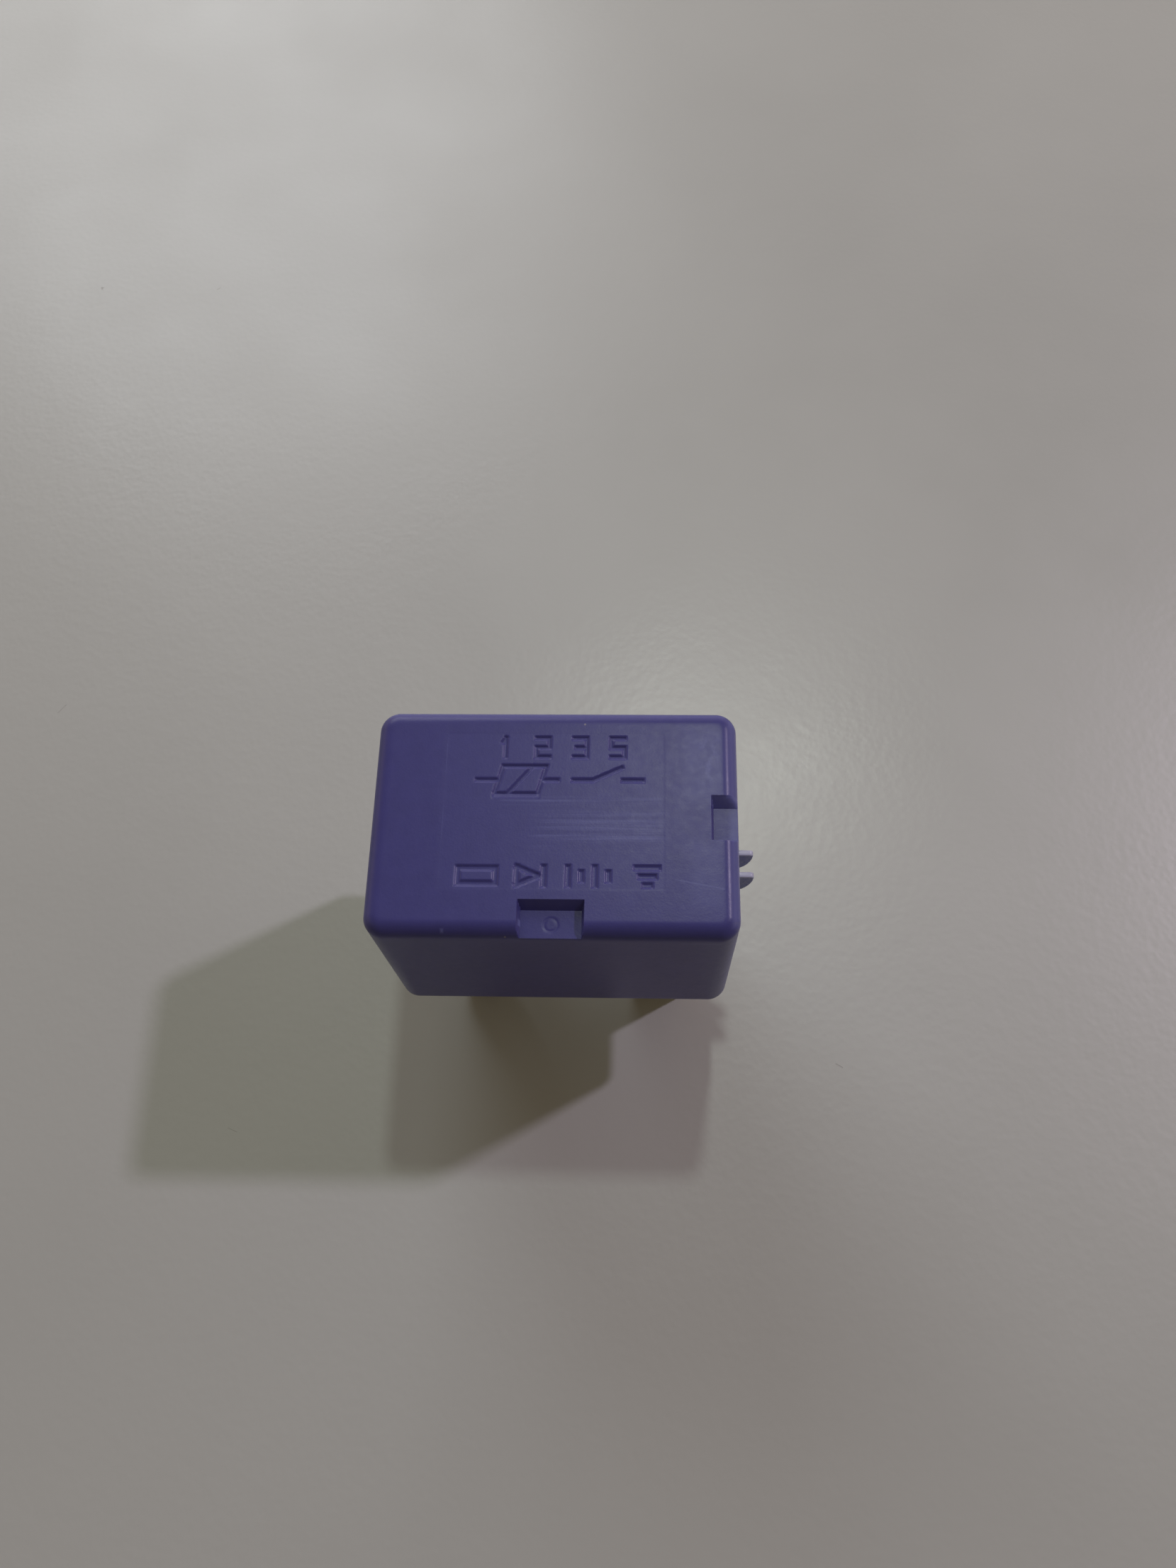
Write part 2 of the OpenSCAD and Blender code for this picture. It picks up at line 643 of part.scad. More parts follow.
module armature_rivets() {
    color([0.72, 0.72, 0.70]) released() for (s = [-1, 1])
        translate([yoke_x + 5.2, s * 1.8, arm_z0]) rotate_extrude()
            polygon([[0, 0.05], [0.6, 0.05], [0.6, armature_t + leaf_t + eps],
                [1.05, armature_t + leaf_t + eps], [0.75, armature_t + leaf_t + 0.4],
                [0, armature_t + leaf_t + 0.4]]);
}

module moving_contact() {
    r = moving_d / 2;
    color([0.84, 0.84, 0.82]) released() translate([contact_x, 0, arm_z1]) rotate_extrude()
        polygon([[0, -moving_h], [r - 0.35, -moving_h], [r, -moving_h + 0.15], [r, -eps],
            [0.7, -eps], [0.7, leaf_t + eps], [1.1, leaf_t + eps], [0.85, leaf_t + 0.3],
            [0, leaf_t + 0.3]]);
}

cover();
base();
terminal_seals();
contact_terminal_common();
contact_terminal_no();
coil_terminal_a();
coil_terminal_b();
yoke();
core();
bobbin();
coil_winding();
coil_tape();
coil_lead_start();
coil_lead_finish();
suppression_resistor();
resistor_lead_a();
resistor_lead_b();
return_spring();
yoke_rivets();
back_stop();
fixed_contact();
armature();
contact_spring();
armature_rivets();
moving_contact();
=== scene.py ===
"""Looks of a plug-in relay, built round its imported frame.

The cover, the coil, the leaves, the leads and the resistor are modelled here as detailed pieces, and the
stamped, turned and moulded parts are the frame's own shapes with their edges broken. Lengths are metres.
"""

import json
import logging
import math
from dataclasses import dataclass
from enum import Enum
from typing import Iterable, Optional, Sequence

import bmesh
import bpy
import numpy as np
from mathutils import Matrix, Quaternion, Vector


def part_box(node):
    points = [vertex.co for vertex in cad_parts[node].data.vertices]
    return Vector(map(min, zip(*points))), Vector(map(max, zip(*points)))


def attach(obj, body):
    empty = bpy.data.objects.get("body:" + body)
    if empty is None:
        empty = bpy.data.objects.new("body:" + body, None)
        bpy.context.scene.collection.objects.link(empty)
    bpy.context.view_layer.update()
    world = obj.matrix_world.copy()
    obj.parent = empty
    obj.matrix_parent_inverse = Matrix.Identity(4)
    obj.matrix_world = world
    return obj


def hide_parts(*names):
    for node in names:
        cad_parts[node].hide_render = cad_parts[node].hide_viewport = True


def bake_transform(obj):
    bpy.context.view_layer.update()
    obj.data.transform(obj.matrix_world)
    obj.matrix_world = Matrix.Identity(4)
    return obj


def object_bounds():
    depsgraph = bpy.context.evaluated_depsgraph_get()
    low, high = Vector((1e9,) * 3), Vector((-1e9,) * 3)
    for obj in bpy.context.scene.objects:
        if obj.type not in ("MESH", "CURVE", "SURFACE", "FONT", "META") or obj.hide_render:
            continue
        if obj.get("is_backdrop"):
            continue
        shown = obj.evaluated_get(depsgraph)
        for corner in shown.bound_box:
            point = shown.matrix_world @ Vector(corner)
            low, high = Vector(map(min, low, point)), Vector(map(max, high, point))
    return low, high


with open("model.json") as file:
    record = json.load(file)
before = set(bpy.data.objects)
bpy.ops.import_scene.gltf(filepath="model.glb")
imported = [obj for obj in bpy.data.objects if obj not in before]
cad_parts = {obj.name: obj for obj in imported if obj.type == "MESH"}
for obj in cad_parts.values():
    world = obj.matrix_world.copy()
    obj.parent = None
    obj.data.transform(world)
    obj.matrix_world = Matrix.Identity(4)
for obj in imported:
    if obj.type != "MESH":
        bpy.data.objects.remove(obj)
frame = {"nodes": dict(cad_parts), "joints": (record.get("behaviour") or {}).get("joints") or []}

MM = 0.001
WELD = 0.0008 * MM  # points of one mesh nearer than this are one point
NODE_WELD = 0.0002 * MM  # the same for a frame node's triangles
FLAT_DEG = 0.6  # frame faces that turn less than this are one face
RING_STEPS = 72  # facets round a turn of wire and the sleeve under it
WIRE_SIDES = 8  # facets round the section of a turn
log = logging.getLogger("relay")

Point = tuple[float, float, float]
Plan = tuple[float, float]


class Body(Enum):
    """The rigid bodies of the frame that pieces ride on."""

    BASE = "base_unit"
    ARMATURE = "armature_unit"
    COVER = "cover_shell"


class Axis(Enum):
    """Direction of a row or a grain, as a unit vector."""

    X = (1.0, 0.0, 0.0)
    Y = (0.0, 1.0, 0.0)
    Z = (0.0, 0.0, 1.0)


# --------------------------------------------------------------------------------------
# Meshes
# --------------------------------------------------------------------------------------


def new_object(name: str, mesh: bpy.types.Mesh, sharp_deg: float = 32.0) -> bpy.types.Object:
    """Link a finished mesh as an object with smooth shading and sharp edges by angle.

    Args:
        name: name of the piece.
        mesh: its mesh, in the row frame.
        sharp_deg: edges that turn more than this stay sharp.

    Returns:
        The new object, at the origin.
    """
    mesh.name = name
    mesh.polygons.foreach_set("use_smooth", [True] * len(mesh.polygons))
    mesh.set_sharp_from_angle(angle=math.radians(sharp_deg))
    obj = bpy.data.objects.new(name, mesh)
    bpy.context.scene.collection.objects.link(obj)
    return obj


def mesh_from_bmesh(bm: bmesh.types.BMesh, recalc: bool = True) -> bpy.types.Mesh:
    """Turn a bmesh into a mesh and free it.

    Args:
        bm: the bmesh.
        recalc: point its faces outwards first.

    Returns:
        The mesh.
    """
    if recalc:
        bmesh.ops.recalc_face_normals(bm, faces=bm.faces)
    mesh = bpy.data.meshes.new("piece")
    bm.to_mesh(mesh)
    bm.free()
    return mesh


def baked(obj: bpy.types.Object) -> bpy.types.Mesh:
    """Evaluate an object's modifiers into a plain mesh and remove the object.

    Args:
        obj: the object, linked to the scene.

    Returns:
        The evaluated mesh.
    """
    bpy.context.view_layer.update()
    graph = bpy.context.evaluated_depsgraph_get()
    mesh = bpy.data.meshes.new_from_object(obj.evaluated_get(graph), depsgraph=graph)
    bpy.data.objects.remove(obj)
    return mesh


def broken_edges(
    mesh: bpy.types.Mesh, width: float, segments: int = 2, angle_deg: float = 35.0
) -> bpy.types.Mesh:
    """Round the sharp edges of a mesh by a bevel.

    Args:
        mesh: the mesh to finish.
        width: width of the bevel.
        segments: facets across it.
        angle_deg: edges that turn more than this are bevelled.

    Returns:
        The bevelled mesh.
    """
    obj = bpy.data.objects.new("to_bevel", mesh)
    bpy.context.scene.collection.objects.link(obj)
    mesh.polygons.foreach_set("use_smooth", [True] * len(mesh.polygons))
    bevel = obj.modifiers.new("edge", "BEVEL")
    bevel.width = width
    bevel.segments = segments
    bevel.limit_method = "ANGLE"
    bevel.angle_limit = math.radians(angle_deg)
    bevel.use_clamp_overlap = False
    normals = obj.modifiers.new("normals", "WEIGHTED_NORMAL")
    normals.keep_sharp = True
    return baked(obj)


def softened(node: str, width: float, segments: int = 2) -> bpy.types.Mesh:
    """Copy a frame node's mesh, join its loose triangles into faces and break its edges.

    Args:
        node: name of the frame node.
        width: width of the bevel.
        segments: facets across it.

    Returns:
        The finished copy.
    """
    bm = bmesh.new()
    bm.from_mesh(frame["nodes"][node].data)
    bmesh.ops.remove_doubles(bm, verts=bm.verts, dist=NODE_WELD)
    flat = math.radians(FLAT_DEG)
    bmesh.ops.dissolve_limit(bm, angle_limit=flat, verts=bm.verts, edges=bm.edges)
    return broken_edges(mesh_from_bmesh(bm, recalc=False), width, segments)


def box_mesh(bm: bmesh.types.BMesh, low: Point, high: Point) -> None:
    """Add a closed box to a bmesh.

    Args:
        bm: the bmesh.
        low: lowest corner.
        high: highest corner.
    """
    made = bmesh.ops.create_cube(bm, size=1.0)["verts"]
    centre = [(a + b) / 2 for a, b in zip(low, high)]
    size = [b - a for a, b in zip(low, high)]
    for vert in made:
        vert.co = Vector([c + v * s for c, v, s in zip(centre, vert.co, size)])


def lathe(profile: Sequence[Plan], centre: Point, axis: Axis, steps: int = 48) -> bpy.types.Mesh:
    """Turn a profile about an axis into a closed solid.

    Args:
        profile: (radius, height) pairs whose first and last radii are zero.
        centre: where height zero lies on the axis.
        axis: direction of the height.
        steps: facets round.

    Returns:
        The turned mesh.
    """
    bm = bmesh.new()
    edges = []
    previous = None
    for radius, height in profile:
        vert = bm.verts.new((radius, 0.0, height))
        if previous is not None:
            edges.append(bm.edges.new((previous, vert)))
        previous = vert
    bmesh.ops.spin(
        bm, geom=edges, cent=(0, 0, 0), axis=(0, 0, 1), angle=math.tau, steps=steps, use_merge=True
    )
    bmesh.ops.remove_doubles(bm, verts=bm.verts, dist=WELD)
    turn = Vector((0, 0, 1)).rotation_difference(Vector(axis.value)).to_matrix().to_4x4()
    bmesh.ops.transform(bm, matrix=Matrix.Translation(centre) @ turn, verts=bm.verts)
    return mesh_from_bmesh(bm)


def tube(path: Sequence[Vector], radii: Sequence[float], sides: int = 12) -> bpy.types.Mesh:
    """Sweep a round section along a path, with closed ends.

    Args:
        path: centre line.
        radii: radius at each point of the path.
        sides: facets round.

    Returns:
        The swept mesh.
    """
    bm = bmesh.new()
    rings = []
    side = Vector((0, 0, 1))
    for i, point in enumerate(path):
        ahead = path[min(i + 1, len(path) - 1)] - path[max(i - 1, 0)]
        ahead.normalize()
        side = (side - ahead * side.dot(ahead)).normalized()
        up = ahead.cross(side)
        ring = []
        for k in range(sides):
            turn = math.tau * k / sides
            offset = side * math.cos(turn) + up * math.sin(turn)
            ring.append(bm.verts.new(point + offset * radii[i]))
        rings.append(ring)
    for a, b in zip(rings, rings[1:]):
        for k in range(sides):
            bm.faces.new((a[k], a[(k + 1) % sides], b[(k + 1) % sides], b[k]))
    bm.faces.new(rings[0])
    bm.faces.new(rings[-1])
    return mesh_from_bmesh(bm)


def rounded_path(corners: Sequence[Point], radius: float, steps: int = 8) -> list[Vector]:
    """Round the corners of a run of points with arcs of one radius.

    Args:
        corners: the run, with its two ends.
        radius: radius of every arc.
        steps: parts of each arc.

    Returns:
        Points along the rounded run.
    """
    points = [Vector(c) for c in corners]
    path = [points[0]]
    for before, corner, after in zip(points, points[1:], points[2:]):
        a = (before - corner).normalized()
        b = (after - corner).normalized()
        half = a.angle(b) / 2
        reach = radius / math.tan(half)
        centre = corner + (a + b).normalized() * (radius / math.sin(half))
        start = corner + a * reach - centre
        end = corner + b * reach - centre
        turn = start.rotation_difference(end)
        for i in range(steps + 1):
            path.append(centre + Quaternion().slerp(turn, i / steps) @ start)
    path.append(points[-1])
    return path


def joined(meshes: Iterable[bpy.types.Mesh]) -> bpy.types.Mesh:
    """Join meshes into one, keeping each closed.

    Args:
        meshes: the meshes.

    Returns:
        One mesh.
    """
    bm = bmesh.new()
    for mesh in meshes:
        bm.from_mesh(mesh)
    return mesh_from_bmesh(bm, recalc=False)


# --------------------------------------------------------------------------------------
# Geometry Nodes for what repeats
# --------------------------------------------------------------------------------------


class Graph:
    """Short way to place and join nodes in a shader or geometry tree."""

    def __init__(self, tree: bpy.types.NodeTree) -> None:
        """Keep the tree that nodes go into."""
        self.tree = tree

    def add(
        self, kind: str, sockets: Optional[dict] = None, **settings: object
    ) -> bpy.types.Node:
        """Place a node.

        Args:
            kind: Blender's class name of the node.
            sockets: input name or number to a value or to an output socket.
            settings: attributes of the node itself.

        Returns:
            The node.
        """
        made = self.tree.nodes.new(kind)
        for key, value in settings.items():
            setattr(made, key, value)
        for key, value in (sockets or {}).items():
            target = made.inputs[key]
            if isinstance(value, bpy.types.NodeSocket):
                self.tree.links.new(value, target)
            else:
                target.default_value = value
        return made

    def math(self, operation: str, *values: object) -> bpy.types.NodeSocket:
        """Place a Math node and return its output."""
        kind = "ShaderNodeMath"
        return self.add(kind, dict(enumerate(values)), operation=operation).outputs[0]

    def vector(self, operation: str, *values: object) -> bpy.types.NodeSocket:
        """Place a Vector Math node and return its vector output."""
        kind = "ShaderNodeVectorMath"
        return self.add(kind, dict(enumerate(values)), operation=operation).outputs[0]


def group_sockets(
    tree: bpy.types.NodeTree, inputs: dict[str, tuple[str, object]], outputs: dict[str, str]
) -> None:
    """Give a node group its named sockets.

    Args:
        tree: the group.
        inputs: name to (socket type, default or None).
        outputs: name to socket type.
    """
    for name, (kind, default) in inputs.items():
        made = tree.interface.new_socket(name, in_out="INPUT", socket_type=kind)
        if default is not None:
            made.default_value = default
    for name, kind in outputs.items():
        tree.interface.new_socket(name, in_out="OUTPUT", socket_type=kind)


class Repeater:
    """Geometry Nodes trees that lay out repeated shapes, built once and baked per use."""

    def __init__(self) -> None:
        """Build both trees."""
        self.rings = self._ring_tree()
        self.row = self._row_tree()

    @staticmethod
    def _ring_tree() -> bpy.types.NodeTree:
        """Tree of equal round-section rings stacked along an offset.

        Returns:
            The tree.
        """
        tree = bpy.data.node_groups.new("ring_stack", "GeometryNodeTree")
        group_sockets(
            tree,
            {
                "Radius": ("NodeSocketFloat", 0.001),
                "Wire Radius": ("NodeSocketFloat", 0.0001),
                "Count": ("NodeSocketInt", 2),
                "Start": ("NodeSocketVector", None),
                "Offset": ("NodeSocketVector", None),
                "Turn": ("NodeSocketVector", None),
                "Material": ("NodeSocketMaterial", None),
            },
            {"Geometry": "NodeSocketGeometry"},
        )
        g = Graph(tree)
        given = g.add("NodeGroupInput").outputs
        round_kind = "GeometryNodeCurvePrimitiveCircle"
        circle = g.add(round_kind, {"Resolution": RING_STEPS, "Radius": given["Radius"]})
        section = g.add(round_kind, {"Resolution": WIRE_SIDES, "Radius": given["Wire Radius"]})
        ring = g.add(
            "GeometryNodeCurveToMesh", {"Curve": circle.outputs[0], "Profile Curve": section.outputs[0]}
        )
        line = Repeater._line(g, given)
        placed = g.add(
            "GeometryNodeInstanceOnPoints", {"Points": line.outputs[0], "Instance": ring.outputs[0]}
        )
        turned = g.add(
            "GeometryNodeRotateInstances",
            {"Instances": placed.outputs[0], "Rotation": given["Turn"]},
        )
        return Repeater._ended(g, turned, given)

    @staticmethod
    def _row_tree() -> bpy.types.NodeTree:
        """Tree of copies of one shape along an offset.

        Returns:
            The tree.
        """
        tree = bpy.data.node_groups.new("shape_row", "GeometryNodeTree")
        group_sockets(
            tree,
            {
                "Shape": ("NodeSocketObject", None),
                "Count": ("NodeSocketInt", 2),
                "Start": ("NodeSocketVector", None),
                "Offset": ("NodeSocketVector", None),
                "Material": ("NodeSocketMaterial", None),
            },
            {"Geometry": "NodeSocketGeometry"},
        )
        g = Graph(tree)
        given = g.add("NodeGroupInput").outputs
        shape = g.add("GeometryNodeObjectInfo", {"Object": given["Shape"]})
        line = Repeater._line(g, given)
        placed = g.add(
            "GeometryNodeInstanceOnPoints",
            {"Points": line.outputs[0], "Instance": shape.outputs["Geometry"]},
        )
        return Repeater._ended(g, placed, given)

    @staticmethod
    def _line(g: Graph, given: bpy.types.bpy_prop_collection) -> bpy.types.Node:
        """Points that the copies stand on, by the given count, start and offset."""
        sockets = {"Count": given["Count"], "Start Location": given["Start"], "Offset": given["Offset"]}
        return g.add("GeometryNodeMeshLine", sockets)

    @staticmethod
    def _ended(
        g: Graph, instances: bpy.types.Node, given: bpy.types.bpy_prop_collection
    ) -> bpy.types.NodeTree:
        """Make the copies real, dress them and lead them out.

        Args:
            g: the tree's graph.
            instances: node whose first output holds the copies.
            given: the tree's inputs.

        Returns:
            The finished tree.
        """
        real = g.add("GeometryNodeRealizeInstances", {"Geometry": instances.outputs[0]})
        sockets = {"Geometry": real.outputs[0], "Material": given["Material"]}
        dressed = g.add("GeometryNodeSetMaterial", sockets)
        g.add("NodeGroupOutput", {"Geometry": dressed.outputs[0]})
        return g.tree

    @staticmethod
    def _bake(tree: bpy.types.NodeTree, values: dict[str, object]) -> bpy.types.Mesh:
        """Run a tree with its inputs set by identifier.

        Args:
            tree: the tree.
            values: input name to value.

        Returns:
            The result as a plain mesh.
        """
        obj = bpy.data.objects.new("repeat", bpy.data.meshes.new("repeat"))
        bpy.context.scene.collection.objects.link(obj)
        modifier = obj.modifiers.new("repeat", "NODES")
        modifier.node_group = tree
        for item in tree.interface.items_tree:
            if item.in_out == "INPUT" and item.name in values:
                modifier[item.identifier] = values[item.name]
        return baked(obj)

    def ring_stack(
        self,
        radius: float,
        wire: float,
        count: int,
        start: Point,
        offset: Point,
        material: bpy.types.Material,
        turn: Point = (0.0, 0.0, 0.0),
    ) -> bpy.types.Mesh:
        """Stack of closed rings.

        Args:
            radius: radius of a ring's centre line.
            wire: radius of its section.
            count: how many rings.
            start: centre of the first ring.
            offset: step to the next.
            material: finish of the rings.
            turn: Euler angles of each ring from lying flat.

        Returns:
            The rings as one mesh.
        """
        return self._bake(
            self.rings,
            {
                "Radius": radius,
                "Wire Radius": wire,
                "Count": count,
                "Start": start,
                "Offset": offset,
                "Turn": turn,
                "Material": material,
            },
        )

    def row_of(
        self,
        shape: bpy.types.Mesh,
        count: int,
        start: Point,
        offset: Point,
        material: bpy.types.Material,
    ) -> bpy.types.Mesh:
        """Row of copies of a shape.

        Args:
            shape: mesh of one copy, modelled about the origin.
            count: how many copies.
            start: place of the first.
            offset: step to the next.
            material: finish of the copies.

        Returns:
            The copies as one mesh.
        """
        source = bpy.data.objects.new("shape", shape)
        bpy.context.scene.collection.objects.link(source)
        made = self._bake(
            self.row,
            {"Shape": source, "Count": count, "Start": start, "Offset": offset, "Material": material},
        )
        bpy.data.objects.remove(source)
        return made


# --------------------------------------------------------------------------------------
# Shared shader effects
# --------------------------------------------------------------------------------------


class ShaderKit:
    """Node groups for the effects that several finishes share, each built once."""

    def __init__(self) -> None:
        """Build every group."""
        self.mottle = self._mottle()
        self.grain = self._grain()
        self.lines = self._lines()
        self.scratches = self._scratches()
        self.specks = self._specks()
        self.worn_edges = self._worn_edges()
        self.patch = self._patch()

    @staticmethod
    def _start(
        name: str, inputs: dict[str, tuple[str, object]], outputs: dict[str, str]
    ) -> tuple[Graph, bpy.types.bpy_prop_collection]:
        """Open a group.

        Args:
            name: name of the group.
            inputs: name to (socket type, default or None).
            outputs: name to socket type.

        Returns:
            The group's graph and the sockets it is given.
        """
        tree = bpy.data.node_groups.new(name, "ShaderNodeTree")
        group_sockets(tree, inputs, outputs)
        g = Graph(tree)
        return g, g.add("NodeGroupInput").outputs

    @classmethod
    def _mottle(cls) -> bpy.types.NodeTree:
        """Slow unevenness of colour and gloss, about 0.5.

        Returns:
            The group.
        """
        g, given = cls._start(
            "mottle",
            {"Vector": ("NodeSocketVector", None), "Scale": ("NodeSocketFloat", 300.0)},
            {"Tone": "NodeSocketFloat"},
        )
        sockets = {"Vector": given["Vector"], "Scale": given["Scale"], "Detail": 5.0, "Roughness": 0.6}
        noise = g.add("ShaderNodeTexNoise", sockets)
        tone = g.add(
            "ShaderNodeMapRange", {"Value": noise.outputs["Fac"], "From Min": 0.28, "From Max": 0.72}
        )
        g.add("NodeGroupOutput", {"Tone": tone.outputs["Result"]})
        return g.tree

    @classmethod
    def _grain(cls) -> bpy.types.NodeTree:
        """Spark-eroded tool grain: small soft cells over fine noise.

        Returns:
            The group.
        """
        g, given = cls._start(
            "tool_grain",
            {"Vector": ("NodeSocketVector", None), "Scale": ("NodeSocketFloat", 9000.0)},
            {"Height": "NodeSocketFloat"},
        )
        cells = g.add(
            "ShaderNodeTexVoronoi",
            {"Vector": given["Vector"], "Scale": given["Scale"], "Smoothness": 0.6},
            feature="SMOOTH_F1",
        )
        coarse = g.math("MULTIPLY", given["Scale"], 0.45)
        noise = g.add("ShaderNodeTexNoise", {"Vector": given["Vector"], "Scale": coarse, "Detail": 3.0})
        height = g.math("MULTIPLY_ADD", cells.outputs["Distance"], 0.6, noise.outputs["Fac"])
        g.add("NodeGroupOutput", {"Height": height})
        return g.tree

    @classmethod
    def _lines(cls) -> bpy.types.NodeTree:
        """Rolling or flow lines: noise drawn out along one direction.

        Returns:
            The group.
        """
        g, given = cls._start(
            "drawn_lines",
            {"Vector": ("NodeSocketVector", None), "Stretch": ("NodeSocketVector", None)},
            {"Lines": "NodeSocketFloat"},
        )
        at = g.vector("MULTIPLY", given["Vector"], given["Stretch"])
        sockets = {"Vector": at, "Scale": 1.0, "Detail": 4.0, "Roughness": 0.65}
        noise = g.add("ShaderNodeTexNoise", sockets)
        g.add("NodeGroupOutput", {"Lines": noise.outputs["Fac"]})
        return g.tree

    @classmethod
    def _scratches(cls) -> bpy.types.NodeTree:
        """Thin handling scratches in two directions, broken up by a slow noise.

        Returns:
            The group.
        """
        g, given = cls._start(
            "handling_scratches",
            {
                "Vector": ("NodeSocketVector", None),
                "Scale": ("NodeSocketFloat", 300.0),
                "Width": ("NodeSocketFloat", 0.006),
                "Amount": ("NodeSocketFloat", 0.3),
            },
            {"Mask": "NodeSocketFloat"},
        )
        masks = []
        for turn, shift in ((0.5, 0.0), (-1.1, 0.03)):
            moved = {"Location": (shift, shift, shift), "Rotation": (0.3, 0.2, turn)}
            at = g.add("ShaderNodeMapping", {"Vector": given["Vector"], **moved})
            drawn = g.vector("MULTIPLY", at.outputs[0], (0.12, 1.0, 1.0))
            noise = g.add("ShaderNodeTexNoise", {"Vector": drawn, "Scale": given["Scale"], "Detail": 1.0})
            off = g.math("ABSOLUTE", g.math("SUBTRACT", noise.outputs["Fac"], 0.5))
            line = g.math("LESS_THAN", off, given["Width"])
            breaks = g.add("ShaderNodeTexNoise", {"Vector": at.outputs[0], "Scale": 160.0, "Detail": 2.0})
            limit = g.math("SUBTRACT", 0.75, g.math("MULTIPLY", given["Amount"], 0.5))
            masks.append(g.math("MULTIPLY", line, g.math("GREATER_THAN", breaks.outputs["Fac"], limit)))
        g.add("NodeGroupOutput", {"Mask": g.math("MAXIMUM", *masks)})
        return g.tree

    @classmethod
    def _specks(cls) -> bpy.types.NodeTree:
        """Dust and small flecks: a few cells hold one soft dot each.

        Returns:
            The group.
        """
        g, given = cls._start(
            "specks",
            {
                "Vector": ("NodeSocketVector", None),
                "Scale": ("NodeSocketFloat", 900.0),
                "Size": ("NodeSocketFloat", 0.12),
                "Amount": ("NodeSocketFloat", 0.15),
            },
            {"Mask": "NodeSocketFloat"},
        )
        cells = g.add("ShaderNodeTexVoronoi", {"Vector": given["Vector"], "Scale": given["Scale"]})
        chosen = g.math(
            "LESS_THAN",
            g.add("ShaderNodeSeparateColor", {"Color": cells.outputs["Color"]}).outputs[0],
            given["Amount"],
        )
        dot = g.add(
            "ShaderNodeMapRange",
            {
                "Value": cells.outputs["Distance"],
                "From Min": given["Size"],
                "From Max": g.math("MULTIPLY", given["Size"], 0.5),
            },
            interpolation_type="SMOOTHSTEP",
        )
        g.add("NodeGroupOutput", {"Mask": g.math("MULTIPLY", chosen, dot.outputs["Result"])})
        return g.tree

    @classmethod
    def _worn_edges(cls) -> bpy.types.NodeTree:
        """Rubbed outer edges, where the surface bends outwards, broken up by noise.

        Returns:
            The group.
        """
        g, given = cls._start(
            "worn_edges",
            {
                "Vector": ("NodeSocketVector", None),
                "Scale": ("NodeSocketFloat", 1500.0),
                "Amount": ("NodeSocketFloat", 0.5),
            },
            {"Mask": "NodeSocketFloat"},
        )
        bend = g.add("ShaderNodeNewGeometry").outputs["Pointiness"]
        edge = g.add(
            "ShaderNodeMapRange",
            {"Value": bend, "From Min": 0.52, "From Max": 0.62},
            interpolation_type="SMOOTHSTEP",
        )
        sockets = {"Vector": given["Vector"], "Scale": given["Scale"], "Detail": 3.0}
        noise = g.add("ShaderNodeTexNoise", sockets)
        broken = g.add(
            "ShaderNodeMapRange", {"Value": noise.outputs["Fac"], "From Min": 0.35, "From Max": 0.6}
        )
        worn = g.math("MULTIPLY", edge.outputs["Result"], broken.outputs["Result"])
        g.add("NodeGroupOutput", {"Mask": g.math("MULTIPLY", worn, given["Amount"])})
        return g.tree

    @classmethod
    def _patch(cls) -> bpy.types.NodeTree:
        """Soft-edged box of the given half sizes about a centre, turned about Z.

        Returns:
            The group.
        """
        g, given = cls._start(
            "soft_patch",
            {
                "Vector": ("NodeSocketVector", None),
                "Centre": ("NodeSocketVector", None),
                "Half Size": ("NodeSocketVector", None),
                "Turn": ("NodeSocketFloat", 0.0),
                "Softness": ("NodeSocketFloat", 0.0005),
            },
            {"Mask": "NodeSocketFloat"},
        )
        shifted = g.vector("SUBTRACT", given["Vector"], given["Centre"])
        back = g.math("MULTIPLY", given["Turn"], -1.0)
        turned = g.add(
            "ShaderNodeVectorRotate", {"Vector": shifted, "Angle": back}, rotation_type="Z_AXIS"
        ).outputs[0]
        beyond = g.vector("SUBTRACT", g.vector("ABSOLUTE", turned), given["Half Size"])
        split = g.add("ShaderNodeSeparateXYZ", {"Vector": beyond}).outputs
        worst = g.math("MAXIMUM", g.math("MAXIMUM", split[0], split[1]), split[2])
        mask = g.add(
            "ShaderNodeMapRange",
            {"Value": worst, "From Min": 0.0, "From Max": g.math("MULTIPLY", given["Softness"], -1.0)},
            interpolation_type="SMOOTHSTEP",
        )
        g.add("NodeGroupOutput", {"Mask": mask.outputs["Result"]})
        return g.tree


# --------------------------------------------------------------------------------------
# Finishes
# --------------------------------------------------------------------------------------

Rgb = tuple[float, float, float]
Socket = bpy.types.NodeSocket
SCATTER: Rgb = (0.5 * MM, 0.45 * MM, 1.0 * MM)  # how far each colour of light spreads in plastic
COAT_ROUGHNESS = 0.12


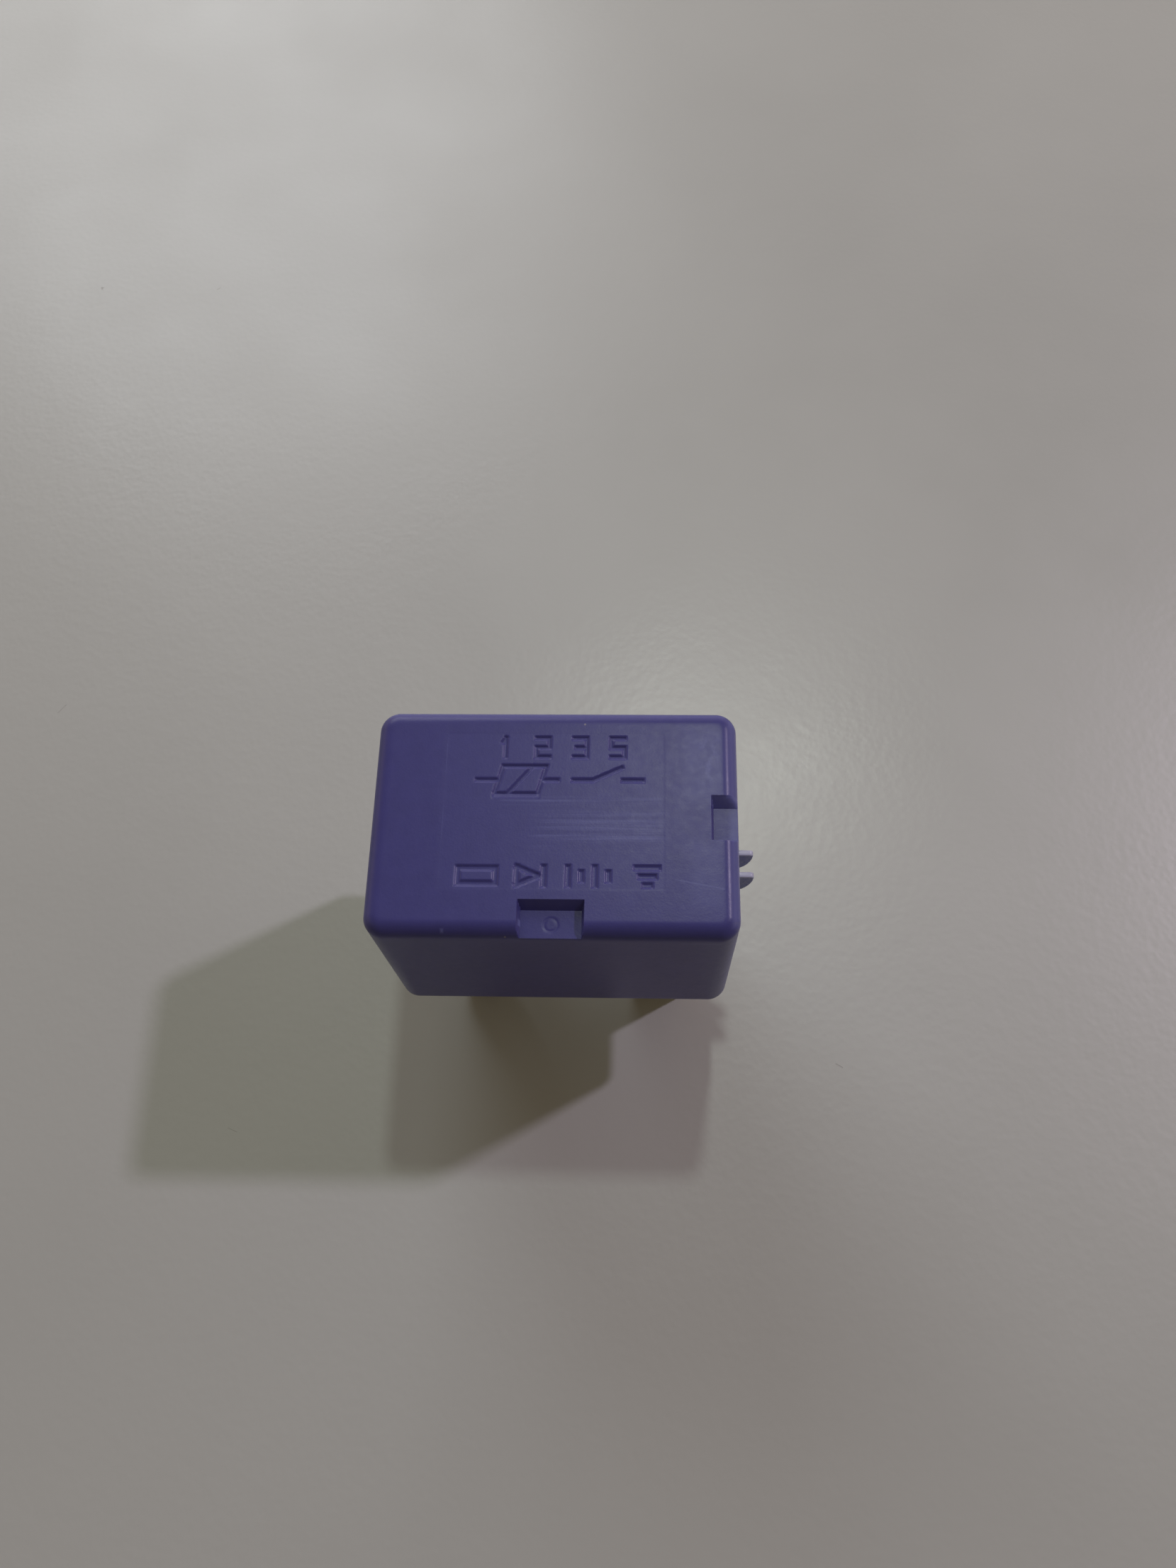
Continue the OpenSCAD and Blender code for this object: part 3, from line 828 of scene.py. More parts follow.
class FinishGraph(Graph):
    """Material tree under construction, with the shared groups at hand."""

    def __init__(self, tree: bpy.types.NodeTree, kit: ShaderKit) -> None:
        """Start from the object's own coordinates.

        Args:
            tree: the material's node tree.
            kit: the shared groups.
        """
        super().__init__(tree)
        self.kit = kit
        self.at: Socket = self.add("ShaderNodeTexCoord").outputs["Object"]

    def effect(self, group: bpy.types.NodeTree, **values: object) -> Socket:
        """Place a shared group on the object's coordinates.

        Args:
            group: the group.
            values: its inputs by name, with an underscore for a space.

        Returns:
            Its first output.
        """
        made = self.tree.nodes.new("ShaderNodeGroup")
        made.node_tree = group
        self.tree.links.new(self.at, made.inputs["Vector"])
        for key, value in values.items():
            made.inputs[key.replace("_", " ")].default_value = value
        return made.outputs[0]

    def blend(self, amount: object, under: object, over: object) -> Socket:
        """Mix two colours.

        Args:
            amount: share of the second, as a number or a socket.
            under: the first colour.
            over: the second colour.

        Returns:
            The mixed colour's socket.
        """
        mix = self.add("ShaderNodeMix", data_type="RGBA")
        slots = (mix.inputs["Factor"], mix.inputs[6], mix.inputs[7])
        for slot, value in zip(slots, (amount, under, over)):
            if isinstance(value, bpy.types.NodeSocket):
                self.tree.links.new(value, slot)
            elif isinstance(value, tuple):
                slot.default_value = (*value, 1.0)
            else:
                slot.default_value = value
        return mix.outputs[2]

    def scaled(self, mask: Socket, share: float) -> Socket:
        """A mask times a share."""
        return self.math("MULTIPLY", mask, share)


@dataclass(frozen=True)
class Finish:
    """A surface: its colour, gloss, grain and wear. Lengths are metres, scales per metre."""

    name: str
    color: Rgb
    roughness: float
    metallic: float = 0.0
    specular: float = 0.5
    coat: float = 0.0
    subsurface: float = 0.0
    tone_spread: float = 0.08
    tone_scale: float = 250.0
    gloss_spread: float = 0.08
    grain_scale: float = 9000.0
    grain_depth: float = 4e-6
    stretch: Optional[Point] = None
    line_depth: float = 2e-6
    line_tone: float = 0.1
    scratch_amount: float = 0.3
    scratch_tone: Rgb = (0.3, 0.3, 0.3)
    dust: float = 0.1
    dust_color: Rgb = (0.42, 0.40, 0.37)
    edge_color: Optional[Rgb] = None
    edge_amount: float = 0.5

    def shade(self, factor: float) -> Rgb:
        """The finish's colour made lighter or darker."""
        r, green, b = self.color
        return (r * factor, green * factor, b * factor)

    def body_color(self, g: FinishGraph) -> Socket:
        """Colour before wear and dust: mottled, and lined where the metal was rolled or drawn.

        Args:
            g: the material's graph.

        Returns:
            The colour's socket.
        """
        tone = g.effect(g.kit.mottle, Scale=self.tone_scale)
        color = g.blend(tone, self.shade(1 - self.tone_spread), self.shade(1 + self.tone_spread))
        if self.stretch:
            lines = g.effect(g.kit.lines, Stretch=self.stretch)
            color = g.blend(g.scaled(lines, self.line_tone), color, self.shade(0.45))
        return color

    def marks(self, g: FinishGraph, color: Socket) -> tuple[Socket, Socket]:
        """Scratches, worn edges and dust over the colour.

        Args:
            g: the material's graph.
            color: the colour under them.

        Returns:
            The colour with its marks, and the scratch mask.
        """
        scratch = g.effect(g.kit.scratches, Amount=self.scratch_amount)
        color = g.blend(g.scaled(scratch, 0.45), color, self.scratch_tone)
        if self.edge_color:
            worn = g.effect(g.kit.worn_edges, Amount=self.edge_amount)
            color = g.blend(worn, color, self.edge_color)
        if self.dust:
            dots = g.effect(g.kit.specks, Amount=self.dust)
            color = g.blend(g.scaled(dots, 0.5), color, self.dust_color)
        return color, scratch

    def relief(self, g: FinishGraph, scratch: Socket) -> Socket:
        """Height of the fine surface, as a share of the grain's depth.

        Args:
            g: the material's graph.
            scratch: the scratch mask.

        Returns:
            The height's socket.
        """
        height = g.effect(g.kit.grain, Scale=self.grain_scale)
        if self.stretch:
            lines = g.effect(g.kit.lines, Stretch=self.stretch)
            height = g.math("MULTIPLY_ADD", lines, self.line_depth / self.grain_depth, height)
        return g.math("SUBTRACT", height, scratch)

    def gloss(self, g: FinishGraph, scratch: Socket) -> Socket:
        """Roughness with its slow unevenness, duller where scratched.

        Args:
            g: the material's graph.
            scratch: the scratch mask.

        Returns:
            The roughness's socket.
        """
        tone = g.effect(g.kit.mottle, Scale=self.tone_scale * 2.3)
        low = self.roughness - self.gloss_spread
        rough = g.math("MULTIPLY_ADD", tone, 2 * self.gloss_spread, low)
        return g.math("MULTIPLY_ADD", scratch, 0.12, rough)

    def material(self, kit: ShaderKit) -> bpy.types.Material:
        """Build the finish's material.

        Args:
            kit: the shared node groups.

        Returns:
            The material.
        """
        made = bpy.data.materials.new(self.name)
        made.use_nodes = True
        made.diffuse_color = (*self.color, 1.0)
        tree = made.node_tree
        shader = tree.nodes["Principled BSDF"]
        g = FinishGraph(tree, kit)
        color, scratch = self.marks(g, self.body_color(g))
        tree.links.new(color, shader.inputs["Base Color"])
        tree.links.new(self.gloss(g, scratch), shader.inputs["Roughness"])
        height = self.relief(g, scratch)
        sockets = {"Height": height, "Distance": self.grain_depth, "Strength": 1.0}
        bump = g.add("ShaderNodeBump", sockets)
        tree.links.new(bump.outputs[0], shader.inputs["Normal"])
        shader.inputs["Metallic"].default_value = self.metallic
        shader.inputs["Specular IOR Level"].default_value = self.specular
        shader.inputs["Coat Weight"].default_value = self.coat
        shader.inputs["Coat Roughness"].default_value = COAT_ROUGHNESS
        if self.subsurface:
            shader.inputs["Subsurface Weight"].default_value = self.subsurface
            shader.inputs["Subsurface Radius"].default_value = SCATTER
            shader.inputs["Subsurface Scale"].default_value = 1.0
        return made


@dataclass(frozen=True)
class Patch:
    """A lighter area, used for real marks and for painted light: a soft box in the row frame, with a share
    of the lighter colour.
    """

    centre: Point
    half: Point
    soft: float
    share: float
    stretch: Optional[Point] = None
    turn_deg: float = 0.0


@dataclass(frozen=True)
class MarkedShell(Finish):
    """The cover's moulded surface with its insert, flow lines, scuffs and scratches, and painted sheen and
    highlights.
    """

    patches: tuple[Patch, ...] = ()
    # lighter colour of the patches, for the real marks and for the painted sheen and highlights
    light: Rgb = (0.19, 0.215, 0.52)

    def body_color(self, g: FinishGraph) -> Socket:
        """Mottled plastic, lighter in each patch, and only along its lines where it has any.

        Args:
            g: the material's graph.

        Returns:
            The colour's socket.
        """
        color = super().body_color(g)
        for patch in self.patches:
            mask = g.effect(
                g.kit.patch,
                Centre=patch.centre,
                Half_Size=patch.half,
                Turn=math.radians(patch.turn_deg),
                Softness=patch.soft,
            )
            if patch.stretch:
                lines = g.effect(g.kit.lines, Stretch=patch.stretch)
                sockets = {"Value": lines, "From Min": 0.47, "From Max": 0.68}
                strong = g.add("ShaderNodeMapRange", sockets)
                mask = g.math("MULTIPLY", mask, strong.outputs["Result"])
            color = g.blend(g.scaled(mask, patch.share), color, self.light)
        return color


@dataclass(frozen=True)
class BandedLacquer(Finish):
    """Lacquered resistor body with generic colour bands across its axis along Y."""

    bands: tuple[tuple[float, Rgb], ...] = ()
    band_half: float = 0.00028

    def body_color(self, g: FinishGraph) -> Socket:
        """Lacquer with one soft-edged band at each place.

        Args:
            g: the material's graph.

        Returns:
            The colour's socket.
        """
        color = super().body_color(g)
        y = g.add("ShaderNodeSeparateXYZ", {"Vector": g.at}).outputs[1]
        for place, band in self.bands:
            away = g.math("ABSOLUTE", g.math("SUBTRACT", y, place))
            mask = g.add(
                "ShaderNodeMapRange",
                {"Value": away, "From Min": self.band_half, "From Max": self.band_half * 0.8},
            )
            color = g.blend(mask.outputs["Result"], color, band)
        return color


class Palette:
    """Every material of the relay and its table, built once."""

    def __init__(self, kit: ShaderKit, cover: "CoverShape") -> None:
        """Build the materials.

        Args:
            kit: the shared node groups.
            cover: the cover's sizes, which place its marks.
        """
        violet: Rgb = (0.064, 0.064, 0.240)
        moulding = dict(
            grain_scale=7000.0, grain_depth=4e-6, tone_scale=700.0, tone_spread=0.05, dust=0.015
        )
        finishes = {
            "cover": MarkedShell(
                "violet_moulding", violet, 0.31,
                specular=0.22, subsurface=0.15, gloss_spread=0.025, patches=cover.patches(),
                edge_color=(0.16, 0.155, 0.26), edge_amount=0.35, scratch_amount=0.12,
                scratch_tone=(0.13, 0.125, 0.2), **moulding,
            ),
            # the ribs' plastic is a lighter copy of the cover's violet, partly rubbed and partly painted
            # highlight; their tops get a painted highlight
            "rib": MarkedShell(
                "rubbed_and_highlit_violet_moulding", (0.16, 0.19, 0.46), 0.3,
                specular=0.4, patches=cover.rib_top_highlights(), light=(0.62, 0.66, 0.84),
                edge_color=(0.32, 0.34, 0.52), edge_amount=0.5, scratch_tone=(0.3, 0.31, 0.45),
                **moulding,
            ),
            "base": Finish(
                "black_moulding", (0.016, 0.015, 0.016), 0.42,
                edge_color=(0.07, 0.068, 0.066), scratch_tone=(0.08, 0.08, 0.08), grain_depth=6e-6,
                dust=0.12,
            ),
            "resin": Finish(
                "potting_resin", (0.012, 0.010, 0.012), 0.16,
                coat=0.5, grain_scale=1800.0, grain_depth=8e-6,
            ),
            "brass": Finish(
                "tinned_brass", (0.62, 0.52, 0.33), 0.34,
                metallic=1.0, stretch=(9000.0, 9000.0, 260.0), tone_spread=0.14, tone_scale=420.0,
                gloss_spread=0.1, edge_color=(0.80, 0.66, 0.36), scratch_tone=(0.85, 0.78, 0.6),
                dust_color=(0.2, 0.17, 0.12),
            ),
            "tin": Finish(
                "tinned_blade", (0.62, 0.61, 0.58), 0.32,
                metallic=1.0, stretch=(9000.0, 9000.0, 260.0), tone_spread=0.1, tone_scale=500.0,
                edge_color=(0.75, 0.62, 0.36), scratch_tone=(0.9, 0.9, 0.88),
                dust_color=(0.22, 0.21, 0.19),
            ),
            "steel": Finish(
                "zinc_plate", (0.52, 0.53, 0.54), 0.38,
                metallic=1.0, stretch=(300.0, 7000.0, 7000.0), tone_spread=0.1, tone_scale=700.0,
                grain_depth=3e-6, edge_color=(0.72, 0.73, 0.74), scratch_tone=(0.8, 0.8, 0.8),
            ),
            "bobbin": Finish(
                "natural_moulding", (0.66, 0.62, 0.50), 0.46,
                subsurface=0.15, grain_scale=5000.0, scratch_tone=(0.5, 0.46, 0.36),
            ),
            "copper": Finish(
                "enamelled_wire", (0.60, 0.21, 0.075), 0.24,
                metallic=0.85, coat=0.6, tone_spread=0.18, tone_scale=1600.0, grain_depth=1e-6,
                scratch_amount=0.0,
            ),
            "film": Finish(
                "amber_film", (0.46, 0.27, 0.035), 0.2,
                coat=0.5, tone_spread=0.12, tone_scale=500.0, grain_scale=2500.0, grain_depth=6e-6,
                scratch_tone=(0.6, 0.45, 0.2),
            ),
            "lacquer": BandedLacquer(
                "resistor_lacquer", (0.26, 0.42, 0.47), 0.28,
                coat=0.4, grain_scale=2600.0,
                bands=(
                    (-0.0023, (0.42, 0.19, 0.02)),
                    (-0.0011, (0.012, 0.011, 0.012)),
                    (-0.0001, (0.16, 0.05, 0.012)),
                    (0.0021, (0.48, 0.34, 0.1)),
                ),
            ),
            "wire": Finish(
                "tinned_wire", (0.68, 0.68, 0.66), 0.26,
                metallic=1.0, stretch=(400.0, 400.0, 400.0), tone_scale=900.0,
            ),
            "solder": Finish(
                "solder", (0.60, 0.60, 0.59), 0.3,
                metallic=1.0, grain_scale=3500.0, grain_depth=1.2e-5, tone_scale=1500.0,
                tone_spread=0.16,
            ),
            "bronze": Finish(
                "rolled_bronze", (0.66, 0.42, 0.20), 0.28,
                metallic=1.0, stretch=(220.0, 9000.0, 9000.0), tone_spread=0.12, tone_scale=380.0,
                edge_color=(0.78, 0.56, 0.32), scratch_tone=(0.85, 0.66, 0.42),
            ),
            "rivet": Finish(
                "bright_rivet", (0.66, 0.66, 0.64), 0.24,
                metallic=1.0, grain_scale=5000.0, tone_scale=1500.0,
            ),
            "silver": Finish(
                "contact_silver", (0.80, 0.79, 0.76), 0.3,
                metallic=1.0, grain_scale=6000.0, tone_scale=1800.0, tone_spread=0.14,
            ),
            "table": Finish(
                "pale_table", (0.465, 0.49, 0.485), 0.36,
                tone_spread=0.04, tone_scale=9.0, grain_scale=1500.0, grain_depth=1.4e-5,
                scratch_amount=0.0, dust=0.0, specular=0.75,
            ),
        }
        self.materials = {key: finish.material(kit) for key, finish in finishes.items()}

    def __getitem__(self, key: str) -> bpy.types.Material:
        """Material by its short name."""
        return self.materials[key]


# --------------------------------------------------------------------------------------
# Pieces and sub-assemblies
# --------------------------------------------------------------------------------------


@dataclass
class SubAssembly:
    """Pieces that are built and dressed together."""

    palette: Palette
    repeater: Repeater

    def place(
        self,
        name: str,
        mesh: bpy.types.Mesh,
        finish: str,
        slot: str,
        body: Optional[Body],
        nodes: Sequence[str],
        sharp_deg: float = 32.0,
    ) -> bpy.types.Object:
        """Finish one piece and give it to its body.

        Args:
            name: name of the piece.
            mesh: its final mesh.
            finish: its material, by the palette's short name.
            slot: the record's material slot; not used.
            body: the body it rides on, or None for a piece that bends between two.
            nodes: frame nodes that it stands for.
            sharp_deg: edges that turn more than this stay sharp.

        Returns:
            The object.
        """
        mesh.materials.clear()
        mesh.materials.append(self.palette[finish])
        obj = new_object(name, mesh, sharp_deg)
        if body:
            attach(obj, body.value)
        if nodes:
            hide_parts(*nodes)
        log.info("%-26s %6d faces", name, len(mesh.polygons))
        return obj

    def finished_node(
        self, node: str, name: str, finish: str, slot: str, body: Body, width: float
    ) -> bpy.types.Object:
        """Dress a frame node's own shape with broken edges."""
        return self.place(name, softened(node, width), finish, slot, body, [node])


def smooth_step(low: float, high: float, value: np.ndarray) -> np.ndarray:
    """Smooth rise from 0 at low to 1 at high."""
    t = np.clip((value - low) / (high - low), 0, 1)
    return t * t * (3 - 2 * t)


def rounded_box_distance(
    x: np.ndarray, y: np.ndarray, low: Plan, high: Plan, radius: float
) -> np.ndarray:
    """Signed distance in plan to a rounded rectangle.

    Args:
        x: places along X.
        y: places along Y.
        low: lowest corner of the rectangle.
        high: highest corner.
        radius: radius of its corners.

    Returns:
        Distances, negative inside.
    """
    dx = np.abs(x - (low[0] + high[0]) / 2) - (high[0] - low[0]) / 2 + radius
    dy = np.abs(y - (low[1] + high[1]) / 2) - (high[1] - low[1]) / 2 + radius
    outside = np.hypot(np.maximum(dx, 0), np.maximum(dy, 0))
    return outside + np.minimum(np.maximum(dx, dy), 0) - radius


@dataclass(frozen=True)
class Stroke:
    """One engraved line with square ends. Plan points in millimetres."""

    start: Plan
    end: Plan
    width: float

    def distance(self, x: np.ndarray, y: np.ndarray) -> np.ndarray:
        """Signed distance to the line's outline.

        Args:
            x: places along X.
            y: places along Y.

        Returns:
            Distances, negative inside.
        """
        run = (self.end[0] - self.start[0], self.end[1] - self.start[1])
        length = math.hypot(*run)
        along = ((x - self.start[0]) * run[0] + (y - self.start[1]) * run[1]) / length
        across = ((y - self.start[1]) * run[0] - (x - self.start[0]) * run[1]) / length
        half = self.width / 2
        return np.maximum(np.abs(along - length / 2) - length / 2 - half, np.abs(across) - half)


class PanelMarks:
    """Generic circuit marks of a make-contact relay, in the plan of the top, in millimetres.

    DIGITS are the terminal numbers, FINE the coil and contact signs, and BOLD the lower row of signs.
    """

    DIGIT_START: Plan = (-4.4, 5.1)
    DIGIT_PITCH = 2.9
    DIGITS = {
        1: (((0.3, 1.28), (0.5, 1.6), (0.5, 0.0)),),
        2: (((0.0, 1.6), (1.0, 1.6), (1.0, 0.8), (0.0, 0.8), (0.0, 0.0), (1.0, 0.0)),),
        3: (((0.0, 1.6), (1.0, 1.6), (1.0, 0.0), (0.0, 0.0)), ((0.2, 0.8), (1.0, 0.8))),
        5: (((1.0, 1.6), (0.0, 1.6), (0.0, 0.8), (1.0, 0.8), (1.0, 0.0), (0.0, 0.0)),),
    }
    FINE = (
        ((-4.6, 2.0), (-4.0, 4.3), (-0.7, 4.3), (-1.3, 2.0), (-4.6, 2.0)),
        ((-3.6, 2.0), (-1.7, 4.3)),
        ((-6.0, 3.15), (-4.3, 3.15)),
        ((-1.0, 3.15), (0.2, 3.15)),
        ((1.4, 3.15), (2.9, 3.15), (5.1, 4.2)),
        ((5.2, 3.15), (6.7, 3.15)),
    )
    BOLD = (
        ((-7.0, -5.2), (-7.0, -4.0), (-4.2, -4.0), (-4.2, -5.2), (-7.0, -5.2)),
        ((-2.6, -5.3), (-2.6, -3.9), (-1.0, -4.6), (-2.6, -5.3)),
        ((-0.6, -5.3), (-0.6, -3.9)),
        ((1.2, -5.3), (1.2, -3.9)),
        ((2.2, -4.9), (2.2, -4.3)),
        ((3.2, -5.3), (3.2, -3.9)),
        ((4.2, -4.9), (4.2, -4.3)),
        ((6.3, -3.9), (7.9, -3.9)),
        ((6.6, -4.6), (7.6, -4.6)),
        ((6.9, -5.3), (7.3, -5.3)),
    )

    def __init__(self, width: float = 0.3, bold: float = 1.4) -> None:
        """Lay out every stroke.

        Args:
            width: width of a fine line.
            bold: how much wider the lower row's lines are.
        """
        self.strokes: list[Stroke] = []
        for column, runs in enumerate(self.DIGITS.values()):
            corner = (self.DIGIT_START[0] + self.DIGIT_PITCH * column, self.DIGIT_START[1])
            for run in runs:
                self._run([(corner[0] + x, corner[1] + y) for x, y in run], width)
        for run in self.FINE:
            self._run(run, width)
        for run in self.BOLD:
            self._run(run, width * bold)

    def _run(self, points: Sequence[Plan], width: float) -> None:
        """Add the strokes between following points."""
        self.strokes += [Stroke(a, b, width) for a, b in zip(points, points[1:])]

    def distance(self, x: np.ndarray, y: np.ndarray) -> np.ndarray:
        """Signed distance to the nearest stroke's outline.

        Args:
            x: places along X.
            y: places along Y.

        Returns:
            Distances, negative inside.
        """
        nearest = np.full(x.shape, np.inf)
        for stroke in self.strokes:
            nearest = np.minimum(nearest, stroke.distance(x, y))
        return nearest


@dataclass(frozen=True)
class Pocket:
    """Rectangular pocket with sloped walls, open where a wall's draft is zero. Millimetres."""

    low: Plan
    high: Plan
    drafts: tuple[float, float, float, float]

    def walls(self, axis: int) -> list[Plan]:
        """Foot and head of the walls that cross one axis.

        Args:
            axis: 0 for X and 1 for Y.

        Returns:
            Start and end of each wall.
        """
        first, last = self.drafts[2 * axis : 2 * axis + 2]
        ends = []
        if first:
            ends.append((self.low[axis], self.low[axis] + first))
        if last:
            ends.append((self.high[axis] - last, self.high[axis]))
        return ends

    def rise(self, x: np.ndarray, y: np.ndarray) -> np.ndarray:
        """Height over the floor as a share of the depth.

        Args:
            x: places along X.
            y: places along Y.

        Returns:
            Shares, past 1 outside the pocket.
        """
        shares = [np.zeros(x.shape)]
        for place, low, high, first, last in (
            (x, self.low[0], self.high[0], self.drafts[0], self.drafts[1]),
            (y, self.low[1], self.high[1], self.drafts[2], self.drafts[3]),
        ):
            if first:
                shares.append((low + first - place) / first)
            if last:
                shares.append((place - high + last) / last)
        return np.clip(np.max(shares, axis=0), 0, 2)


PATCH_REACH = 1.6 * MM  # how far a patch on the top reaches up and down


@dataclass(frozen=True)
class CoverShape:
    """Sizes of the cover in millimetres, as the frame has them."""

    length: float
    width: float
    height: float
    wall: float = 1.0
    top: float = 1.3
    corner: float = 1.6
    edge: float = 1.2
    rim_edge: float = 0.12
    post: float = 1.2
    post_z: float = 3.42
    pocket_depth: float = 0.9
    gate: tuple[float, float, float] = (0.0, 1.1, 0.5)
    gate_depth: float = 0.022
    insert: tuple[Plan, Plan] = ((-8.5, -5.65), (8.4, 7.1))
    insert_depth: float = 0.005
    mark_depth: float = 0.13
    rib_proud: float = 1.9
    rib_top: float = 9.0
    rib_depth: float = 3.6
    rib_nose: float = 0.3
    rib_place: float = 0.95
    rib_half: float = 0.25
    rib_foot: float = 0.3
    flare: float = 0.1
    ceiling_round: float = 0.15

    def patches(self) -> tuple[Patch, ...]:
        """Lighter, rubbed and scratched areas of the surface, and painted sheen, highlights and light.

        Returns:
            The insert, its flow lines, a scuff, painted sheen over the right part of the top, a lighter
            right top edge (partly wear, partly painted highlight), painted light on the scoop's far wall,
            a lighter band along the far top edge, painted highlights on the left edges of the insert and
            the front pocket, the scratch, the flecks and a lighter spot high on the front face near the
            right end, in metres.
        """
        top = self.height * MM
        front = -self.width / 2 * MM

        def flat(
            x: float, y: float, hx: float, hy: float, soft: float, share: float, **more: object
        ) -> Patch:
            """Patch that lies in the top's plane, in millimetres."""
            half = (hx * MM, hy * MM, PATCH_REACH)
            return Patch((x * MM, y * MM, top), half, soft * MM, share, **more)

        return (
            flat(-0.05, 0.72, 8.5, 6.4, 0.15, 0.03),
            flat(3.4, -0.9, 5.6, 2.3, 1.6, 0.3, stretch=(60.0, 2400.0, 10.0)),
            flat(2.0, 1.4, 6.3, 0.5, 0.4, 0.3, stretch=(90.0, 3400.0, 10.0)),
            flat(11.8, 5.0, 1.4, 2.8, 1.3, 0.35, stretch=(1500.0, 700.0, 10.0)),
            # painted sheen: the right part of the top lighter, where the lamp behind is reflected
            flat(15.0, 2.0, 13.0, 12.0, 11.0, 0.16),
            # lighter along the right top edge: partly wear, partly painted highlight
            flat(13.7, 0.0, 0.6, 8.6, 0.5, 0.3),
            # painted light on the scoop's far wall, which lies in shade
            flat(12.95, 1.6, 1.15, 0.5, 0.25, 0.35),
            flat(0.0, 8.8, 13.4, 0.6, 0.5, 0.22),
            # painted sheen, stronger over the top's far right
            flat(11.5, 4.6, 2.6, 4.0, 2.6, 0.2),
            # painted sheen over the top's near right
            flat(11.6, -4.4, 2.2, 3.6, 2.2, 0.16),
            flat(11.0, -5.15, 1.9, 0.09, 0.08, 0.2, turn_deg=-11.0),
            # painted highlight: a light line along the insert's left edge
            flat(-8.42, 0.8, 0.05, 6.0, 0.05, 0.16, stretch=(300.0, 350.0, 10.0)),
            # painted highlight on the front pocket's left wall
            flat(-2.33, -8.03, 0.12, 0.3, 0.12, 0.7),
            flat(-7.95, -8.8, 0.2, 0.22, 0.2, 0.5),
            Patch((11.2 * MM, front, 17.0 * MM), (1.6 * MM, 0.4 * MM, 0.35 * MM), 0.4 * MM, 0.14),
        )

    def rib_top_highlights(self) -> tuple[Patch, ...]:
        """Flat tops of the lock ribs painted much lighter, as a painted highlight, in metres."""
        centre = ((self.length / 2 + 1.0) * MM, 0.0, (self.rib_top + 0.05) * MM)
        return (Patch(centre, half=(1.3 * MM, 1.6 * MM, 0.3 * MM), soft=0.2 * MM, share=0.9),)

    def floor_z(self) -> float:
        """Height of the pockets' floors."""
        return self.height - self.pocket_depth

    def pockets(self) -> tuple[Pocket, ...]:
        """Pocket in the long front edge and scoop in the short edge over the lock ribs.

        Returns:
            Both, with the draft of each wall: steep, gentle or a ramp.
        """
        hx, hy = self.length / 2, self.width / 2
        steep, gentle, ramp = 0.22, 0.6, 0.78
        return (
            Pocket((-2.5, -hy), (2.5, 2.8 - hy), (steep, steep, 0.0, gentle)),
            Pocket((hx - 2.1, -1.65), (hx, 2.0), (steep, 0.0, steep, ramp)),
        )

    def edge_offsets(self, steps: int) -> np.ndarray:
        """Distances in from the outline that divide the top edge's round evenly."""
        turn = np.linspace(0, math.pi / 2, steps + 1)
        return self.edge * (1 - np.cos(turn))

    def lines(self, half: float, fine: Sequence[Plan], walls: Sequence[Plan]) -> np.ndarray:
        """Grid lines across one side of the top.

        Args:
            half: half of the side.
            fine: stretches that carry marks, with closer lines.
            walls: foot and head of each pocket wall, which get lines of their own.

        Returns:
            Sorted places of the lines.
        """
        pitch, fine_pitch, clear = 0.2, 0.08, 0.04
        rim = self.edge_offsets(10)
        flat = half - self.edge
        places = list(half - rim) + list(rim - half) + list(np.arange(-flat, flat, pitch))
        for low, high in fine:
            places += list(np.arange(low, high, fine_pitch))
        for ends in walls:
            places = [p for p in places if not min(ends) - clear < p < max(ends) + clear]
            places += list(np.linspace(*ends, 4))
        ordered = np.unique(np.round(np.clip(places, -half, half), 4))
        keep = [ordered[0]]
        for place in ordered[1:-1]:
            gap = 0.008 if abs(place) > flat else 0.03  # closer lines are dropped
            if place - keep[-1] >= gap:
                keep.append(place)
        keep.append(ordered[-1])
        return np.array(keep)

    def plan(self, u: np.ndarray, v: np.ndarray) -> tuple[np.ndarray, np.ndarray]:
        """Bend the square grid's corners to the outline's round corners.

        Args:
            u: places across the grid along the length.
            v: places across the grid along the width.

        Returns:
            Places in plan, X and Y.
        """
        core = (self.length / 2 - self.corner, self.width / 2 - self.corner)
        du = np.maximum(np.abs(u) - core[0], 0) / self.corner
        dv = np.maximum(np.abs(v) - core[1], 0) / self.corner
        both = (du > 0) & (dv > 0)
        nu = np.where(both, du * np.sqrt(1 - dv * dv / 2), du) * self.corner
        nv = np.where(both, dv * np.sqrt(1 - du * du / 2), dv) * self.corner
        x = np.sign(u) * (np.minimum(np.abs(u), core[0]) + nu)
        y = np.sign(v) * (np.minimum(np.abs(v), core[1]) + nv)
        return x, y

    def surface_z(self, x: np.ndarray, y: np.ndarray, marks: PanelMarks) -> np.ndarray:
        """Height of the moulded top over its plan.

        Args:
            x: places along the length.
            y: places along the width.
            marks: the engraved lines.

        Returns:
            Heights in millimetres.
        """
        half = (self.length / 2, self.width / 2)
        inside = -rounded_box_distance(x, y, (-half[0], -half[1]), half, self.corner)
        short = self.edge - np.clip(inside, 0, self.edge)
        z = self.height - self.edge + np.sqrt(np.maximum(self.edge**2 - short**2, 0))
        panel = rounded_box_distance(x, y, *self.insert, 0.2)
        z = z - self.insert_depth * (1 - smooth_step(-0.1, 0.1, panel))
        cut = 1 - smooth_step(-0.1, 0.07, marks.distance(x, y))
        z = z - (self.mark_depth - self.insert_depth) * cut
        for pocket in self.pockets():
            z = np.minimum(z, self.floor_z() + pocket.rise(x, y) * self.pocket_depth)
        ring = np.abs(np.hypot(x - self.gate[0], y + half[1] - self.gate[1]) - self.gate[2])
        return z - self.gate_depth * (1 - smooth_step(0.02, 0.16, ring))


